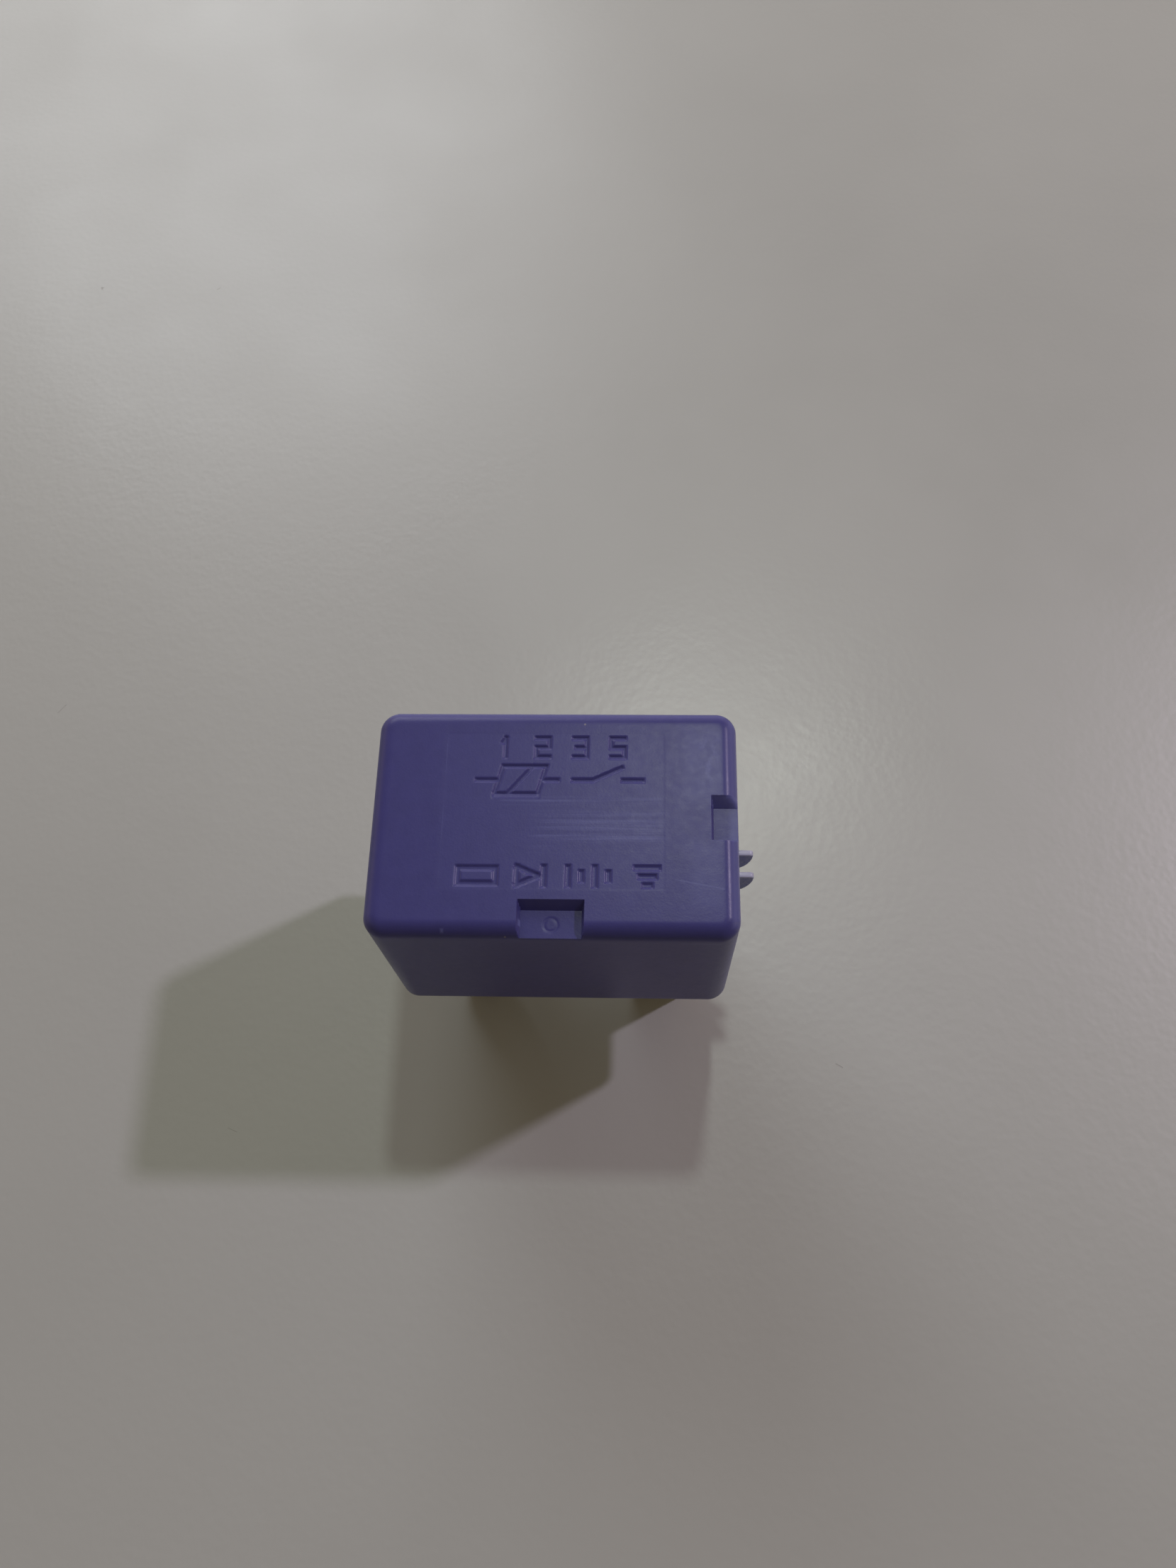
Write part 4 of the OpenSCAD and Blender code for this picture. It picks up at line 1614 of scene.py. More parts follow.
class Cover(SubAssembly):
    """Moulded cover with its engraved insert, two pockets and two lock ribs."""

    WALL_LEVELS = (17.2, 13.5, 9.0, 4.5, 0.6)
    MARKED_X = ((-7.6, 8.6),)
    MARKED_Y = ((-5.8, 7.2), (-8.8, -7.4))

    def build(self, shape: CoverShape) -> None:
        """Build both pieces.

        Args:
            shape: the cover's sizes.
        """
        mesh = self._hollowed(self._outside(shape), self._cavity(shape))
        self.place("moulded_cover", mesh, "cover", "cover_plastic", Body.COVER, ["cover"], 40.0)
        ribs = self._ribs(shape)
        self.place("lock_ribs", ribs, "rib", "cover_plastic", Body.COVER, [], 40.0)

    @staticmethod
    def _outside(shape: CoverShape) -> bpy.types.Mesh:
        """Closed outside of the cover: the detailed top, the walls and a cap under the rim.

        Args:
            shape: the cover's sizes.

        Returns:
            The outside.
        """
        half = (shape.length / 2, shape.width / 2)
        x_walls = [wall for pocket in shape.pockets() for wall in pocket.walls(0)]
        y_walls = [wall for pocket in shape.pockets() for wall in pocket.walls(1)]
        xs = shape.lines(half[0], Cover.MARKED_X, x_walls)
        ys = shape.lines(half[1], Cover.MARKED_Y, y_walls)
        u, v = np.meshgrid(xs, ys, indexing="ij")
        x, y = shape.plan(u, v)
        z = shape.surface_z(x, y, PanelMarks())
        points = [np.stack([x, y, z], axis=-1).reshape(-1, 3)]
        nx, ny = len(xs), len(ys)
        index = np.arange(nx * ny).reshape(nx, ny)
        faces = np.stack([index[:-1, :-1], index[1:, :-1], index[1:, 1:], index[:-1, 1:]], axis=-1)
        faces = faces.reshape(-1, 4).tolist()
        loop = np.concatenate([index[:, 0], index[-1, 1:], index[-2::-1, -1], index[0, -2:0:-1]])
        outline = points[0][loop]
        core = np.array([half[0] - shape.corner, half[1] - shape.corner])
        nearest = np.clip(outline[:, :2], -core, core)
        out = (outline[:, :2] - nearest) / shape.corner
        turn = np.linspace(0, math.pi / 2, 4)
        rings = [(z_at, 0.0) for z_at in Cover.WALL_LEVELS]
        rings += [
            (shape.rim_edge * (1 - math.sin(a)), shape.rim_edge * (1 - math.cos(a))) for a in turn
        ]
        above = loop
        for z_at, inset in rings:
            ring = np.column_stack([outline[:, :2] - out * inset, np.full(len(loop), z_at)])
            below = sum(len(p) for p in points) + np.arange(len(loop))
            points.append(ring)
            following = np.roll(np.arange(len(loop)), -1)
            faces += np.column_stack([above, below, below[following], above[following]]).tolist()
            above = below
        faces.append(above[::-1].tolist())
        mesh = bpy.data.meshes.new("outside")
        mesh.from_pydata((np.concatenate(points) * MM).tolist(), [], faces)
        bm = bmesh.new()
        bm.from_mesh(mesh)
        bmesh.ops.remove_doubles(bm, verts=bm.verts, dist=WELD)
        bpy.data.meshes.remove(mesh)
        return mesh_from_bmesh(bm)

    @staticmethod
    def _cavity(shape: CoverShape) -> bpy.types.Mesh:
        """Room inside the cover, notched round its four corner posts and flared at the rim.

        Args:
            shape: the cover's sizes.

        Returns:
            The room as a closed solid.
        """
        half = (shape.length / 2 - shape.wall, shape.width / 2 - shape.wall)
        flare, eased = shape.flare, shape.ceiling_round

        def ring(z: float, post: float, grow: float) -> list[Point]:
            """Outline with corners cut back by the posts, counter-clockwise.

            Args:
                z: its height.
                post: side of the posts.
                grow: how far it stands outside the room.

            Returns:
                Its points, in metres.
            """
            hx, hy = half[0] + grow, half[1] + grow
            points = []
            for sx, sy in ((1, -1), (1, 1), (-1, 1), (-1, -1)):
                a = (sx * (hx - post), sy * hy)
                b = (sx * (hx - post), sy * (hy - post))
                c = (sx * hx, sy * (hy - post))
                points += [a, b, c] if sx * sy < 0 else [c, b, a]
            return [(px * MM, py * MM, z * MM) for px, py in points]

        ceiling = shape.height - shape.top
        levels = [
            ring(-1.0, 0.0, flare),
            ring(0.0, 0.0, flare),
            ring(flare, 0.0, 0.0),
            ring(shape.post_z, 0.0, 0.0),
            ring(shape.post_z, shape.post, 0.0),
            ring(ceiling - eased, shape.post, 0.0),
            ring(ceiling, shape.post, -eased),
        ]
        bm = bmesh.new()
        rows = [[bm.verts.new(p) for p in level] for level in levels]
        for low, high in zip(rows, rows[1:]):
            for i in range(len(low)):
                j = (i + 1) % len(low)
                bm.faces.new((low[i], low[j], high[j], high[i]))
        bm.faces.new(rows[0])
        bm.faces.new(rows[-1])
        bmesh.ops.triangulate(bm, faces=bm.faces)
        bmesh.ops.remove_doubles(bm, verts=bm.verts, dist=WELD)
        return mesh_from_bmesh(bm)

    @staticmethod
    def _hollowed(outside: bpy.types.Mesh, cavity: bpy.types.Mesh) -> bpy.types.Mesh:
        """Outside less the cavity.

        Args:
            outside: the closed outside.
            cavity: the room in it.

        Returns:
            The hollow cover.
        """
        body = bpy.data.objects.new("outside", outside)
        room = bpy.data.objects.new("cavity", cavity)
        for obj in (body, room):
            bpy.context.scene.collection.objects.link(obj)
        cut = body.modifiers.new("cavity", "BOOLEAN")
        cut.operation = "DIFFERENCE"
        cut.solver = "MANIFOLD"
        cut.object = room
        mesh = baked(body)
        bpy.data.objects.remove(room)
        return mesh

    @staticmethod
    def _ribs(shape: CoverShape) -> bpy.types.Mesh:
        """Two lock ribs: flat top, small nose and a curved underside that runs back to the wall.

        Args:
            shape: the cover's sizes.

        Returns:
            Both ribs, with their feet in the wall.
        """
        proud, top, depth, nose = shape.rib_proud, shape.rib_top, shape.rib_depth, shape.rib_nose
        x0 = shape.length / 2
        foot = x0 - shape.rib_foot
        nose_steps, under_steps = 5, 18
        outline = [(foot, top)]
        for i in range(nose_steps + 1):
            a = math.pi / 2 * (1 - i / nose_steps)
            outline.append((x0 + proud - nose + nose * math.cos(a), top - nose + nose * math.sin(a)))
        for i in range(1, under_steps + 1):
            a = math.pi / 2 * i / under_steps
            outline.append((x0 + proud * math.cos(a), top - nose - (depth - nose) * math.sin(a)))
        outline.append((foot, top - depth))
        meshes = []
        for side in (-1, 1):
            bm = bmesh.new()
            y = side * shape.rib_place - shape.rib_half
            flat = [bm.verts.new((px * MM, y * MM, pz * MM)) for px, pz in outline]
            face = bm.faces.new(flat)
            made = bmesh.ops.extrude_face_region(bm, geom=[face])["geom"]
            moved = [item for item in made if isinstance(item, bmesh.types.BMVert)]
            bmesh.ops.translate(bm, vec=(0, 2 * shape.rib_half * MM, 0), verts=moved)
            meshes.append(broken_edges(mesh_from_bmesh(bm), 0.11 * MM, 3, 50.0))
        return joined(meshes)


def loft(loops: Sequence[Sequence[Vector]], wrap: bool) -> bpy.types.Mesh:
    """Skin between loops of equal length.

    Args:
        loops: closed loops of points, in order.
        wrap: join the last loop to the first, else both ends are capped.

    Returns:
        The closed skin.
    """
    bm = bmesh.new()
    rows = [[bm.verts.new(p) for p in loop] for loop in loops]
    pairs = list(zip(rows, rows[1:] + rows[:1])) if wrap else list(zip(rows, rows[1:]))
    for low, high in pairs:
        for i in range(len(low)):
            j = (i + 1) % len(low)
            bm.faces.new((low[i], low[j], high[j], high[i]))
    if not wrap:
        bm.faces.new(rows[0])
        bm.faces.new(rows[-1])
    return mesh_from_bmesh(bm)


def rounded_loop(
    centre: Plan, half: Plan, radius: float, z: float, per_corner: int = 5
) -> list[Vector]:
    """Rounded rectangle as a loop of points.

    Args:
        centre: its middle in plan.
        half: its half sizes.
        radius: radius of its corners.
        z: its height.
        per_corner: points on each corner.

    Returns:
        The points, counter-clockwise.
    """
    points = []
    for sx, sy, begin in ((1, 1, 0), (-1, 1, 90), (-1, -1, 180), (1, -1, 270)):
        for i in range(per_corner):
            a = math.radians(begin + 90 * i / (per_corner - 1))
            x = centre[0] + sx * (half[0] - radius) + radius * math.cos(a)
            y = centre[1] + sy * (half[1] - radius) + radius * math.sin(a)
            points.append(Vector((x, y, z)))
    return points


def in_metres(profile: Iterable[Plan]) -> list[Plan]:
    """Profile that is given in millimetres."""
    return [(radius * MM, height * MM) for radius, height in profile]


def ring_of(axis: Plan, radius: float, z: float, steps: int) -> list[Vector]:
    """Circle round a vertical axis as a loop of points."""
    turns = [math.tau * i / steps for i in range(steps)]
    return [Vector((axis[0] + radius * math.cos(a), axis[1] + radius * math.sin(a), z)) for a in turns]


COLUMN, ROW = 8.2 * MM, 5.2 * MM  # places of the blades along X and Y


@dataclass(frozen=True)
class Blade:
    """A blade's frame node, its middle in plan and half of its width."""

    node: str
    centre: Plan
    half_width: float


@dataclass
class BladeBase(SubAssembly):
    """Base plate with its four blades and the resin poured round them."""

    contact_half: float = 3.15 * MM
    coil_half: float = 2.4 * MM
    half_thick: float = 0.4 * MM
    well_margin: float = 0.67 * MM
    hold: float = 0.02 * MM
    # the resin's surface from the blade to the well's wall: share of the way and height in millimetres
    MENISCUS = ((0.0, -0.09), (0.06, 0.0), (0.2, 0.07), (0.5, 0.1), (0.8, 0.07), (0.94, 0.0), (1.0, -0.09))

    def build(self) -> None:
        """Build the plate, the blades and the seals."""
        self.finished_node("base", "base_plate", "base", "base_plastic", Body.BASE, 0.09 * MM)
        for node in ("contact_terminal_common", "contact_terminal_no"):
            self.finished_node(node, node + "_strip", "brass", "tinned_brass", Body.BASE, 0.07 * MM)
        for node in ("coil_terminal_a", "coil_terminal_b"):
            self.finished_node(node, node + "_strip", "tin", "coil_blade_metal", Body.BASE, 0.07 * MM)
        blades = (
            Blade("contact_terminal_no", (COLUMN, -ROW), self.contact_half),
            Blade("coil_terminal_a", (-COLUMN, -ROW), self.coil_half),
            Blade("contact_terminal_common", (COLUMN, ROW), self.contact_half),
            Blade("coil_terminal_b", (-COLUMN, ROW), self.coil_half),
        )
        seals = joined([self._seal(blade) for blade in blades])
        self.place("potting_seals", seals, "resin", "resin", Body.BASE, ["terminal_seals"], 50.0)

    def _seal(self, blade: Blade) -> bpy.types.Mesh:
        """Resin round one blade, which climbs the blade and the well's wall.

        Args:
            blade: the blade.

        Returns:
            The ring of resin.
        """
        low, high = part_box("terminal_seals")
        levels = [(share, low.z + height * MM) for share, height in self.MENISCUS]
        loops = []
        for share, z in (*levels, (1.0, high.z), (0.0, high.z)):
            grow = self.hold + self.well_margin * share
            half = (blade.half_width + grow, self.half_thick + grow)
            loops.append(rounded_loop(blade.centre, half, 0.01 * MM + grow * 0.3, z))
        return loft(loops, wrap=True)


@dataclass
class Magnet(SubAssembly):
    """Yoke, core, bobbin, copper winding, its tape and its two soldered ends."""

    # profile of the solder round a post, radius and height in millimetres
    BEAD = (
        (0.0, -0.36), (0.72, -0.36), (0.8, -0.28), (0.9, -0.12), (0.93, 0.03),
        (0.86, 0.18), (0.74, 0.28), (0.6, 0.35), (0.0, 0.36),
    )

    wire: float = 0.085 * MM
    sleeve_inner: float = 2.65 * MM
    tape_thick: float = 0.065 * MM
    tape_gap: float = 0.008 * MM
    tape_in: float = 0.145 * MM
    post_x: float = -9.4 * MM
    wrap_radius: float = 0.78 * MM
    wrap_wire: float = 0.08 * MM
    wrap_pitch: float = 0.17 * MM

    def build(self) -> None:
        """Build every piece of the magnet."""
        self.finished_node("yoke", "yoke_strip", "steel", "plated_steel", Body.BASE, 0.12 * MM)
        self.finished_node("core", "core_and_pole", "steel", "plated_steel", Body.BASE, 0.06 * MM)
        self.finished_node("bobbin", "bobbin_moulding", "bobbin", "bobbin_plastic", Body.BASE, 0.08 * MM)
        self._winding()
        self._tape()
        for side, node in ((-1, "coil_lead_start"), (1, "coil_lead_finish")):
            self._lead(side, node)

    @staticmethod
    def _round(node: str) -> tuple[Plan, float, float, float]:
        """Axis in plan, radius, foot and head of a round upright node.

        Args:
            node: name of the frame node.

        Returns:
            The four of them.
        """
        low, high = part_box(node)
        axis = ((low.x + high.x) / 2, (low.y + high.y) / 2)
        return axis, (high.x - low.x) / 2, low.z, high.z

    def _winding(self) -> None:
        """Turns of enamelled wire over a sleeve of the layers below them."""
        axis, radius, low, high = self._round("coil_winding")
        wire = self.wire
        count = int((high - low - 2 * wire) / (2 * wire)) + 1
        step = (high - low - 2 * wire) / (count - 1)
        turns = self.repeater.ring_stack(
            radius=radius - wire,
            wire=wire,
            count=count,
            start=(*axis, low + wire),
            offset=(0.0, 0.0, step),
            material=self.palette["copper"],
        )
        inner, outer = self.sleeve_inner, radius - wire
        section = ((inner, low), (outer, low), (outer, high), (inner, high))
        sleeve = loft([ring_of(axis, r, z, RING_STEPS) for r, z in section], wrap=True)
        coil = joined([turns, sleeve])
        self.place("copper_turns", coil, "copper", "enamelled_wire", Body.BASE, ["coil_winding"])

    def _tape(self) -> None:
        """Film wound a little over one turn, with its end lapped over its start."""
        axis, outer, low, high = self._round("coil_tape")
        thick, edge = self.tape_thick, 0.015 * MM
        inner = outer - self.tape_in
        start, sweep, steps = math.radians(-70), math.radians(408), 150
        lap_from, lap_to = 5.9, 6.4  # turn at which the end climbs over the start
        loops = []
        for i in range(steps + 1):
            turn = sweep * i / steps
            r0 = inner + float(smooth_step(lap_from, lap_to, np.array(turn))) * (thick + self.tape_gap)
            r1 = r0 + thick
            run, across = math.cos(start + turn), math.sin(start + turn)
            section = ((r0, low), (r1 - edge, low), (r1, low + edge))
            section += ((r1, high - edge), (r1 - edge, high), (r0, high))
            loops.append([Vector((axis[0] + r * run, axis[1] + r * across, z)) for r, z in section])
        self.place("tape_wrap", loft(loops, wrap=False), "film", "film_tape", Body.BASE, ["coil_tape"])

    def _lead(self, side: int, node: str) -> None:
        """One coil end: slack wire, wraps round the post and the solder over them.

        Args:
            side: -1 or 1, the side of the coil along Y.
            node: the frame node it stands for.
        """
        low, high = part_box(node)
        axis, radius, _, _ = self._round("coil_winding")
        sunk, lift, clear, short = 0.35 * MM, 0.1 * MM, 0.32 * MM, 0.7 * MM
        post = Vector((self.post_x, side * ROW, high.z - sunk))
        away = Vector((post.x - axis[0], post.y - axis[1], 0)).normalized()
        start = Vector((*axis, low.z + lift)) + away * (radius + clear)
        end = post - away * short
        rise, steps = 0.16 * MM, 12
        path = []
        for i in range(steps + 1):
            bow = Vector((0, 0, rise * math.sin(math.pi * i / steps)))
            path.append(start.lerp(end, i / steps) + bow)
        wire = tube(path, [self.wire] * len(path), 10)
        wraps = self.repeater.ring_stack(
            radius=self.wrap_radius,
            wire=self.wrap_wire,
            count=3,
            start=(post.x, post.y, post.z + 0.42 * MM),
            offset=(0.0, 0.0, self.wrap_pitch),
            material=self.palette["copper"],
        )
        self.place(node + "_wire", joined([wire, wraps]), "copper", "enamelled_wire", Body.BASE, [node])
        bead = lathe(in_metres(self.BEAD), tuple(post), Axis.Z, 40)
        self.place(node + "_solder", bead, "solder", "tinned_wire", Body.BASE, [], 60.0)


@dataclass
class Contacts(SubAssembly):
    """Fixed contact, riveted through the arm of its strip, and back stop."""

    arm_thick: float = 0.8 * MM

    def build(self) -> None:
        """Build both pieces."""
        low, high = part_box("fixed_contact")
        x, y = (low.x + high.x) / 2, (low.y + high.y) / 2
        _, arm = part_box("contact_terminal_no")
        top, seat, under = high.z, arm.z, arm.z - self.arm_thick
        profile = (
            (0.0, low.z),
            (0.72 * MM, low.z),
            (0.9 * MM, low.z + 0.08 * MM),
            (1.18 * MM, under - 0.05 * MM),
            (1.1 * MM, under - 0.02 * MM),
            (0.8 * MM, under - 0.02 * MM),
            (0.8 * MM, seat + 0.02 * MM),
            (1.54 * MM, seat + 0.02 * MM),
            (1.6 * MM, seat + 0.1 * MM),
            (1.6 * MM, top - 0.22 * MM),
            (1.52 * MM, top - 0.12 * MM),
            (1.3 * MM, top - 0.05 * MM),
            (0.9 * MM, top - 0.015 * MM),
            (0.45 * MM, top),
            (0.0, top),
        )
        name, nodes = "fixed_contact_rivet", ["fixed_contact"]
        turned = lathe(profile, (x, y, 0.0), Axis.Z, 64)
        self.place(name, turned, "silver", "contact_silver", Body.BASE, nodes, 40.0)
        self.finished_node("back_stop", "back_stop_strip", "steel", "plated_steel", Body.BASE, 0.06 * MM)


@dataclass
class ArmatureUnit(SubAssembly):
    """Hinged plate with its leaf, rivets and contact, all lifted to their rest place."""

    # profile of the moving contact, radius and height in millimetres
    CONTACT = (
        (0.0, -0.8), (0.4, -0.8), (0.85, -0.785), (1.2, -0.75), (1.42, -0.68), (1.5, -0.58),
        (1.5, -0.08), (1.44, -0.02), (0.7, -0.02), (0.7, 0.27), (1.08, 0.27), (1.06, 0.37),
        (0.9, 0.49), (0.6, 0.54), (0.0, 0.55),
    )

    hinge: Vector
    swing_deg: float
    contact_rise: float = 1.22 * MM
    rivet_along: float = 5.2 * MM
    rivet_rise: float = 1.49 * MM
    rivet_pitch: float = 3.6 * MM

    def lifted(self) -> Matrix:
        """Turn from the drawn, closed place up to rest.

        Returns:
            The turn, as a matrix.
        """
        back = Matrix.Translation(self.hinge)
        turn = Matrix.Rotation(-math.radians(self.swing_deg), 4, "Y")
        return back @ turn @ Matrix.Translation(-self.hinge)

    def build(self) -> None:
        """Build the pieces that swing."""
        self.finished_node("armature", "armature_plate", "steel", "plated_steel", Body.ARMATURE, 0.08 * MM)
        leaf = ("contact_spring", "contact_leaf", "bronze", "leaf_bronze")
        self.finished_node(*leaf, Body.ARMATURE, 0.03 * MM)
        self._contact()
        self._rivets()

    def _contact(self) -> None:
        """Moving contact, with a domed face and its riveted head."""
        closed = (COLUMN, 0.0, self.hinge.z + self.contact_rise)
        mesh = lathe(in_metres(self.CONTACT), closed, Axis.Z, 64)
        mesh.transform(self.lifted())
        name, nodes = "moving_contact_rivet", ["moving_contact"]
        self.place(name, mesh, "silver", "contact_silver", Body.ARMATURE, nodes, 40.0)

    def _rivets(self) -> None:
        """Two rivets that hold the leaf on the plate."""
        profile = rivet_profile(shank=0.6 * MM, head=1.05 * MM, tail=-1.4 * MM, rise=0.4 * MM)
        shape = lathe(profile, (0, 0, 0), Axis.Z, 32)
        shape.transform(Matrix.Rotation(-math.radians(self.swing_deg), 4, "Y"))
        along, rise, pitch = self.rivet_along, self.rivet_rise, self.rivet_pitch
        start = self.lifted() @ (self.hinge + Vector((along, -pitch / 2, rise)))
        mesh = self.repeater.row_of(shape, 2, tuple(start), (0.0, pitch, 0.0), self.palette["rivet"])
        nodes = ["armature_rivets"]
        self.place("leaf_rivets", mesh, "rivet", "rivet_metal", Body.ARMATURE, nodes, 40.0)


def rivet_profile(shank: float, head: float, tail: float, rise: float) -> list[Plan]:
    """Rivet with a domed head above height zero and its shank below.

    Args:
        shank: radius of the shank.
        head: radius of the head.
        tail: height of the shank's end, below zero.
        rise: height of the dome.

    Returns:
        Its profile, from the tail to the top.
    """
    lead, brim, fullness, steps = 0.05 * MM, 0.04 * MM, 0.8, 6
    profile = [(0.0, tail), (shank - lead, tail), (shank, tail + lead), (shank, 0.0)]
    profile += [(head - 0.03 * MM, 0.0), (head, brim)]
    for i in range(1, steps):
        a = math.pi / 2 * i / steps
        profile.append((head * math.cos(a) ** fullness, brim + (rise - brim) * math.sin(a)))
    return [*profile, (0.0, rise)]


@dataclass
class ReturnLeaf(SubAssembly):
    """Leaf that hooks over the hinge and bends between the yoke and the armature."""

    # profile of a rivet's spread tail, radius and height in millimetres
    TAIL = ((0.0, 0.0), (0.88, 0.0), (0.84, 0.12), (0.62, 0.24), (0.0, 0.27))

    hinge: Vector
    swing_deg: float
    thick: float = 0.2 * MM
    gap: float = 0.03 * MM
    bend: float = 0.5 * MM
    leg: float = 3.0 * MM
    plate: float = 1.25 * MM

    def build(self) -> None:
        """Build the leaf and the rivets that hold it on the yoke."""
        self._leaf()
        self._rivets()

    def _centre_line(self) -> list[Plan]:
        """Middle of the leaf, from its foot up over the bend to its free end.

        Returns:
            Points in X and Z.
        """
        up_steps, bend_steps, leg_steps = 16, 12, 8
        swing = math.radians(self.swing_deg)
        cx = self.hinge.x - self.gap - self.thick + self.bend
        lift = self.plate - self.bend + self.thick
        cz = self.hinge.z + (lift + (cx - self.hinge.x) * math.sin(swing)) / math.cos(swing)
        mid = self.bend - self.thick / 2
        low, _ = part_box("return_spring")
        line = [(cx - mid, low.z + (cz - low.z) * i / up_steps) for i in range(up_steps)]
        for i in range(bend_steps + 1):
            a = math.pi - i * (math.pi / 2 - swing) / bend_steps
            line.append((cx + mid * math.cos(a), cz + mid * math.sin(a)))
        x, z = line[-1]
        for i in range(1, leg_steps + 1):
            reach = self.leg * i / leg_steps
            line.append((x + reach * math.cos(swing), z + reach * math.sin(swing)))
        return line

    def _leaf(self) -> None:
        """The leaf itself, with its edges broken, blended across the hinge."""
        h, edge, taper = self.thick / 2, 0.03 * MM, 0.5 * MM
        low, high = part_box("return_spring")
        line = self._centre_line()
        loops = []
        for i, (x, z) in enumerate(line):
            before, after = line[max(i - 1, 0)], line[min(i + 1, len(line) - 1)]
            run = Vector((after[0] - before[0], 0, after[1] - before[1])).normalized()
            out = Vector((-run.z, 0, run.x))
            at = Vector((x, 0, z))
            w = (high.y - low.y) / 2 - (taper if i in (0, len(line) - 1) else 0.0)
            section = ((-w, -h + edge), (-w + edge, -h), (w - edge, -h), (w, -h + edge))
            section += ((w, h - edge), (w - edge, h), (-w + edge, h), (-w, h - edge))
            loops.append([at + Vector((0, across, 0)) + out * up for across, up in section])
        skin = loft(loops, wrap=False)
        obj = self.place("return_leaf", skin, "bronze", "leaf_bronze", None, ["return_spring"])
        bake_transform(obj)

    def _rivets(self) -> None:
        """Two rivets through the yoke, headed over the leaf."""
        low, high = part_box("yoke_rivets")
        headed = rivet_profile(shank=0.6 * MM, head=0.93 * MM, tail=-1.2 * MM, rise=0.3 * MM)
        profile = [(r, -z) for r, z in headed]
        front = lathe(profile, (0, 0, 0), Axis.X, 32)
        tail = lathe(in_metres(self.TAIL), (1.475 * MM, 0, 0), Axis.X, 32)
        pitch = high.y - low.y - 1.9 * MM
        start = (self.hinge.x - 0.25 * MM, -pitch / 2, (low.z + high.z) / 2)
        both = joined([front, tail])
        mesh = self.repeater.row_of(both, 2, start, (0.0, pitch, 0.0), self.palette["rivet"])
        self.place("yoke_rivet_pair", mesh, "rivet", "rivet_metal", Body.BASE, ["yoke_rivets"], 40.0)


@dataclass
class Suppressor(SubAssembly):
    """Resistor across the coil, with its two formed leads."""

    # profile of the solder on a post, radius and height in millimetres
    BLOB = ((0.0, 0.0), (0.52, 0.0), (0.5, 0.1), (0.38, 0.25), (0.29, 0.48), (0.0, 0.5))

    lead: float = 0.25 * MM
    post_face: float = 5.62 * MM
    waist_in: float = 0.15 * MM
    shoulder: float = 0.5 * MM
    bulge: float = 0.62 * MM

    def build(self) -> None:
        """Build the body and the leads."""
        low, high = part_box("suppression_resistor")
        centre = (low + high) / 2
        radius, half = (high.z - low.z) / 2, (high.y - low.y) / 2
        waist, shoulder, bulge, steps = radius - self.waist_in, self.shoulder, self.bulge, 8
        profile = [(0.0, -half), (0.34 * MM, -half)]
        for i in range(steps + 1):
            a = math.pi * (i / steps - 0.5)
            out = radius - shoulder + shoulder * math.cos(a)
            profile.append((out, -half + bulge + bulge * math.sin(a)))
        profile += [(waist + 0.03 * MM, -half + 1.38 * MM), (waist, -half + 1.6 * MM), (waist, 0.0)]
        mirrored = [(r, -z) for r, z in reversed(profile[:-1])]
        body = lathe(profile + mirrored, tuple(centre), Axis.Y, 56)
        nodes = ["suppression_resistor"]
        self.place("resistor_body", body, "lacquer", "resistor_coat", Body.BASE, nodes, 50.0)
        for side, node in ((-1, "resistor_lead_a"), (1, "resistor_lead_b")):
            self._lead(side, node, centre, half)

    def _lead(self, side: int, node: str, centre: Vector, half: float) -> None:
        """Lead from the body, back along the coil and in to its post, with solder at the post.

        Args:
            side: -1 or 1, the side of the coil along Y.
            node: the frame node it stands for.
            centre: middle of the resistor.
            half: half of the resistor's length.
        """
        low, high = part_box(node)
        reach = (high.y if side > 0 else -low.y) - self.lead
        post_x = low.x + self.lead
        corners = (
            (centre.x, side * (half - 0.1 * MM), centre.z),
            (centre.x, side * reach, centre.z),
            (post_x, side * reach, centre.z),
            (post_x, side * self.post_face, centre.z),
        )
        path = rounded_path(corners, 0.6 * MM)
        formed = tube(path, [self.lead] * len(path), 16)
        blob = lathe(in_metres(self.BLOB), (0, 0, 0), Axis.Y, 28)
        if side < 0:
            blob.transform(Matrix.Rotation(math.pi, 4, "Z"))
        seated = self.post_face - 0.01 * MM
        blob.transform(Matrix.Translation((post_x, side * seated, centre.z)))
        self.place(node + "_wire", joined([formed, blob]), "wire", "tinned_wire", Body.BASE, [node], 50.0)


# --------------------------------------------------------------------------------------
# Table, light and camera
# --------------------------------------------------------------------------------------


@dataclass(frozen=True)
class Lamp:
    """Soft area lamp that points at the relay from a direction."""

    name: str
    towards: Point
    distance: float
    size: float
    power: float
    color: Rgb

    def build(self) -> None:
        """Place the lamp."""
        data = bpy.data.lights.new(self.name, "AREA")
        data.shape = "DISK"
        data.size = self.size
        data.energy = self.power
        data.color = self.color
        obj = bpy.data.objects.new(self.name, data)
        bpy.context.scene.collection.objects.link(obj)
        place = Vector(self.towards).normalized() * self.distance
        obj.location = place
        obj.rotation_euler = place.to_track_quat("Z", "Y").to_euler()


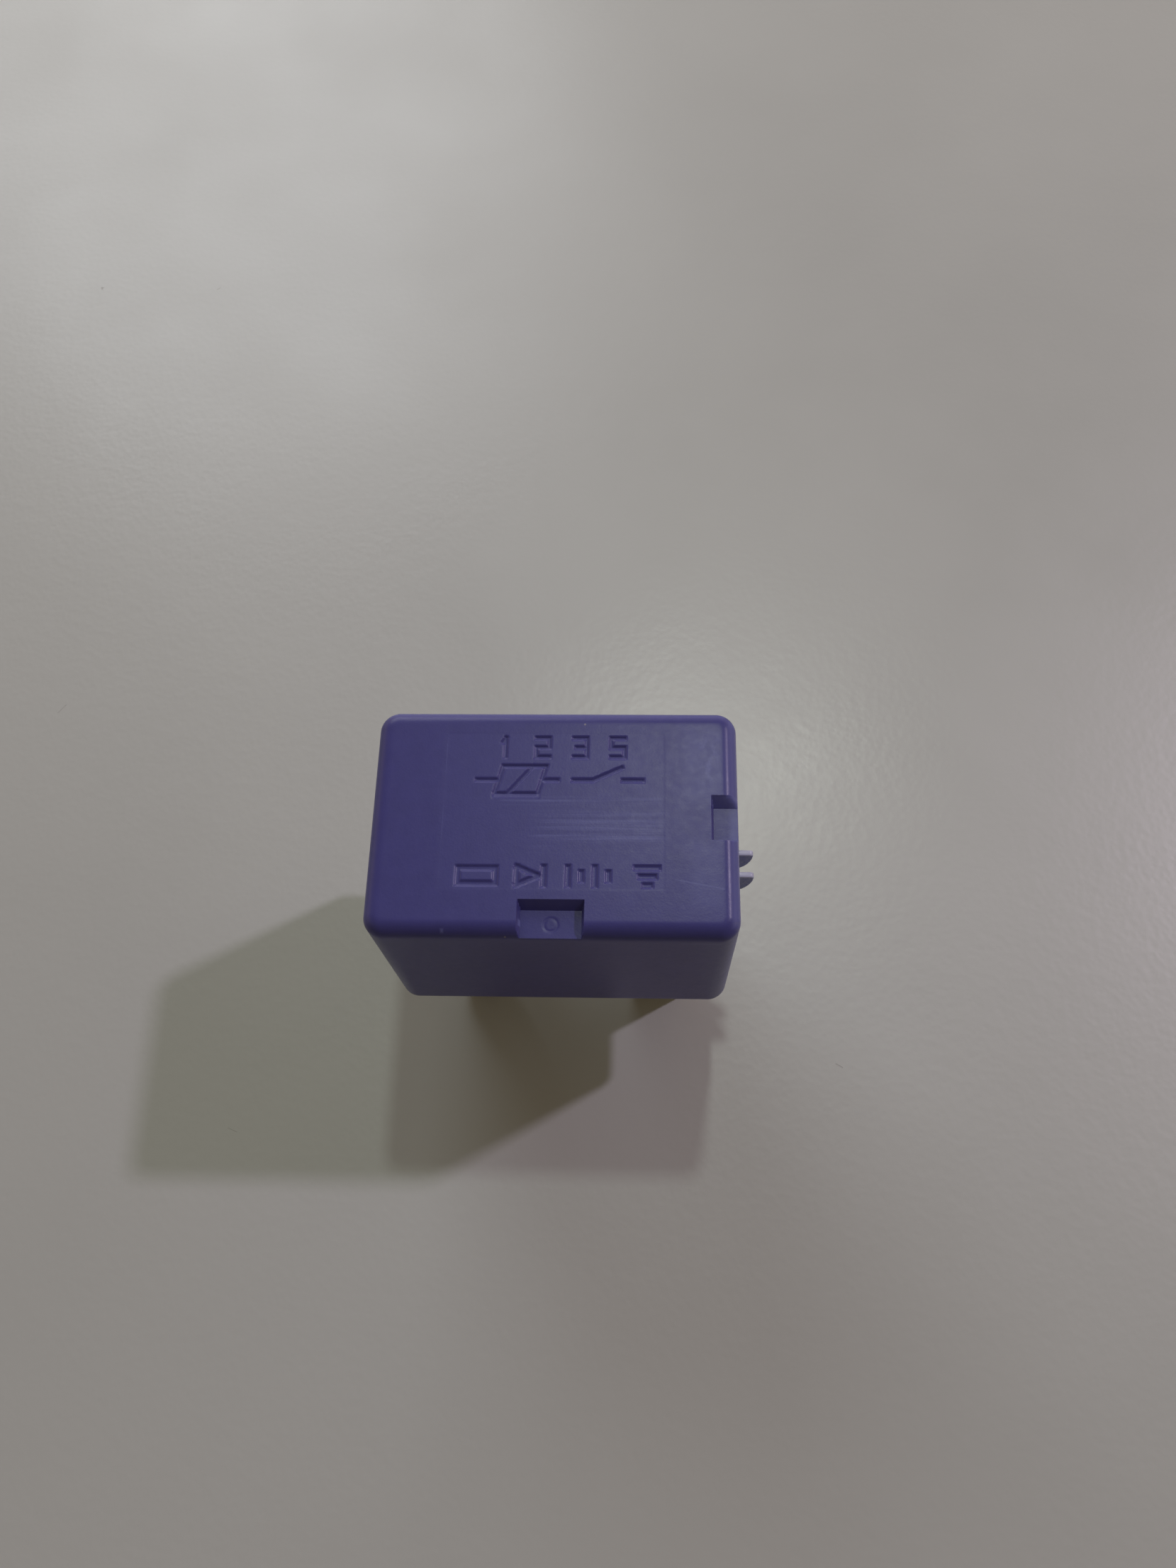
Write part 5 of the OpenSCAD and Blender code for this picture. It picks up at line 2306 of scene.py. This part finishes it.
class Studio:
    """Plain pale table, two soft lamps over it and the camera above the near side."""

    LAMPS = (
        Lamp(
            "lamp_behind", towards=(0.07, 0.43, 1.0), distance=0.9, size=0.05,
            power=0.86, color=(0.935, 1.0, 0.909),
        ),
        Lamp(
            "lamp_right", towards=(0.84, 0.46, 1.0), distance=1.2, size=0.06,
            power=3.85, color=(0.96, 0.82, 1.0),
        ),
        Lamp(
            "window_behind", towards=(-0.16, 0.42, 0.27), distance=0.52, size=0.3,
            power=0.64, color=(0.97, 1.0, 1.03),
        ),
    )
    ROOM: Rgb = (0.97, 0.77, 0.53)
    ROOM_DIM = 0.13
    ROOM_BRIGHT = 0.75
    EYE: Point = (0.006452, -0.035293, 0.10757)
    AIM: Point = (0.002555, 0.002834, 0.0188)
    ROLL_DEG = -5.027
    LENS_MM = 29.066
    SENSOR_MM = 36.0

    def build(self, palette: Palette) -> None:
        """Build the table, lamps, room light and camera.

        Args:
            palette: the materials.
        """
        self._table(palette)
        for lamp in self.LAMPS:
            lamp.build()
        self._room()
        self._camera()

    @staticmethod
    def _table(palette: Palette) -> None:
        """Table top at the blades' tips.

        Args:
            palette: the materials.
        """
        reach, thick = 1.2, 0.02
        low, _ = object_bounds()
        bm = bmesh.new()
        box_mesh(bm, (-reach, -reach, low.z - thick), (reach, reach, low.z))
        obj = new_object("table_top", mesh_from_bmesh(bm))
        obj.data.materials.append(palette["table"])
        obj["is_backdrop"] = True

    def _room(self) -> None:
        """Light from the room: dim overhead and in front, bright low down behind and to the sides."""
        world = bpy.data.worlds.new("room")
        world.use_nodes = True
        bpy.context.scene.world = world
        shader = world.node_tree.nodes["Background"]
        shader.inputs["Color"].default_value = (*self.ROOM, 1.0)
        g = Graph(world.node_tree)
        towards = g.add("ShaderNodeTexCoord").outputs["Generated"]
        split = g.add("ShaderNodeSeparateXYZ", {"Vector": towards}).outputs
        rise = dict(interpolation_type="SMOOTHSTEP")
        low = g.add("ShaderNodeMapRange", {"Value": split[2], "From Min": 0.7, "From Max": 0.15}, **rise)
        sides = {"Value": split[1], "From Min": -0.75, "From Max": 0.1}
        behind = g.add("ShaderNodeMapRange", sides, **rise)
        bright = g.math("MULTIPLY", low.outputs["Result"], behind.outputs["Result"])
        strength = g.math("MULTIPLY_ADD", bright, self.ROOM_BRIGHT, self.ROOM_DIM)
        world.node_tree.links.new(strength, shader.inputs["Strength"])

    def _camera(self) -> None:
        """Camera that looks down on the top and the long front side."""
        data = bpy.data.cameras.new("camera")
        data.lens = self.LENS_MM
        data.sensor_width = self.SENSOR_MM
        data.sensor_fit = "AUTO"
        data.clip_start = 0.005
        data.clip_end = 20.0
        obj = bpy.data.objects.new("camera", data)
        bpy.context.scene.collection.objects.link(obj)
        obj.location = self.EYE
        look = (Vector(self.AIM) - Vector(self.EYE)).to_track_quat("-Z", "Y")
        roll = Quaternion((0.0, 0.0, 1.0), math.radians(self.ROLL_DEG))
        obj.rotation_euler = (look @ roll).to_euler()
        bpy.context.scene.camera = obj
        bpy.context.scene.view_settings.view_transform = "Standard"


def corners(bounds: tuple[Vector, Vector]) -> list[list[float]]:
    """Bounds as plain lists."""
    return [list(bounds[0]), list(bounds[1])]


def main() -> None:
    """Build every sub-assembly in order."""
    logging.basicConfig(level=logging.INFO, format="%(name)s: %(message)s")
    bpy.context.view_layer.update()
    low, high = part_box("cover")
    shape = CoverShape(length=-2 * low.x / MM, width=-2 * low.y / MM, height=high.z / MM)
    palette = Palette(ShaderKit(), shape)
    repeater = Repeater()
    pivot = next(j for j in frame["joints"] if j["name"] == "armature_pivot")
    hinge, swing = Vector(pivot["pos_m"]), pivot["range_deg"][1]
    Cover(palette, repeater).build(shape)
    BladeBase(palette, repeater).build()
    Magnet(palette, repeater).build()
    Contacts(palette, repeater).build()
    ReturnLeaf(palette, repeater, hinge, swing).build()
    ArmatureUnit(palette, repeater, hinge, swing).build()
    Suppressor(palette, repeater).build()
    Studio().build(palette)


if __name__ == "__main__":
    main()
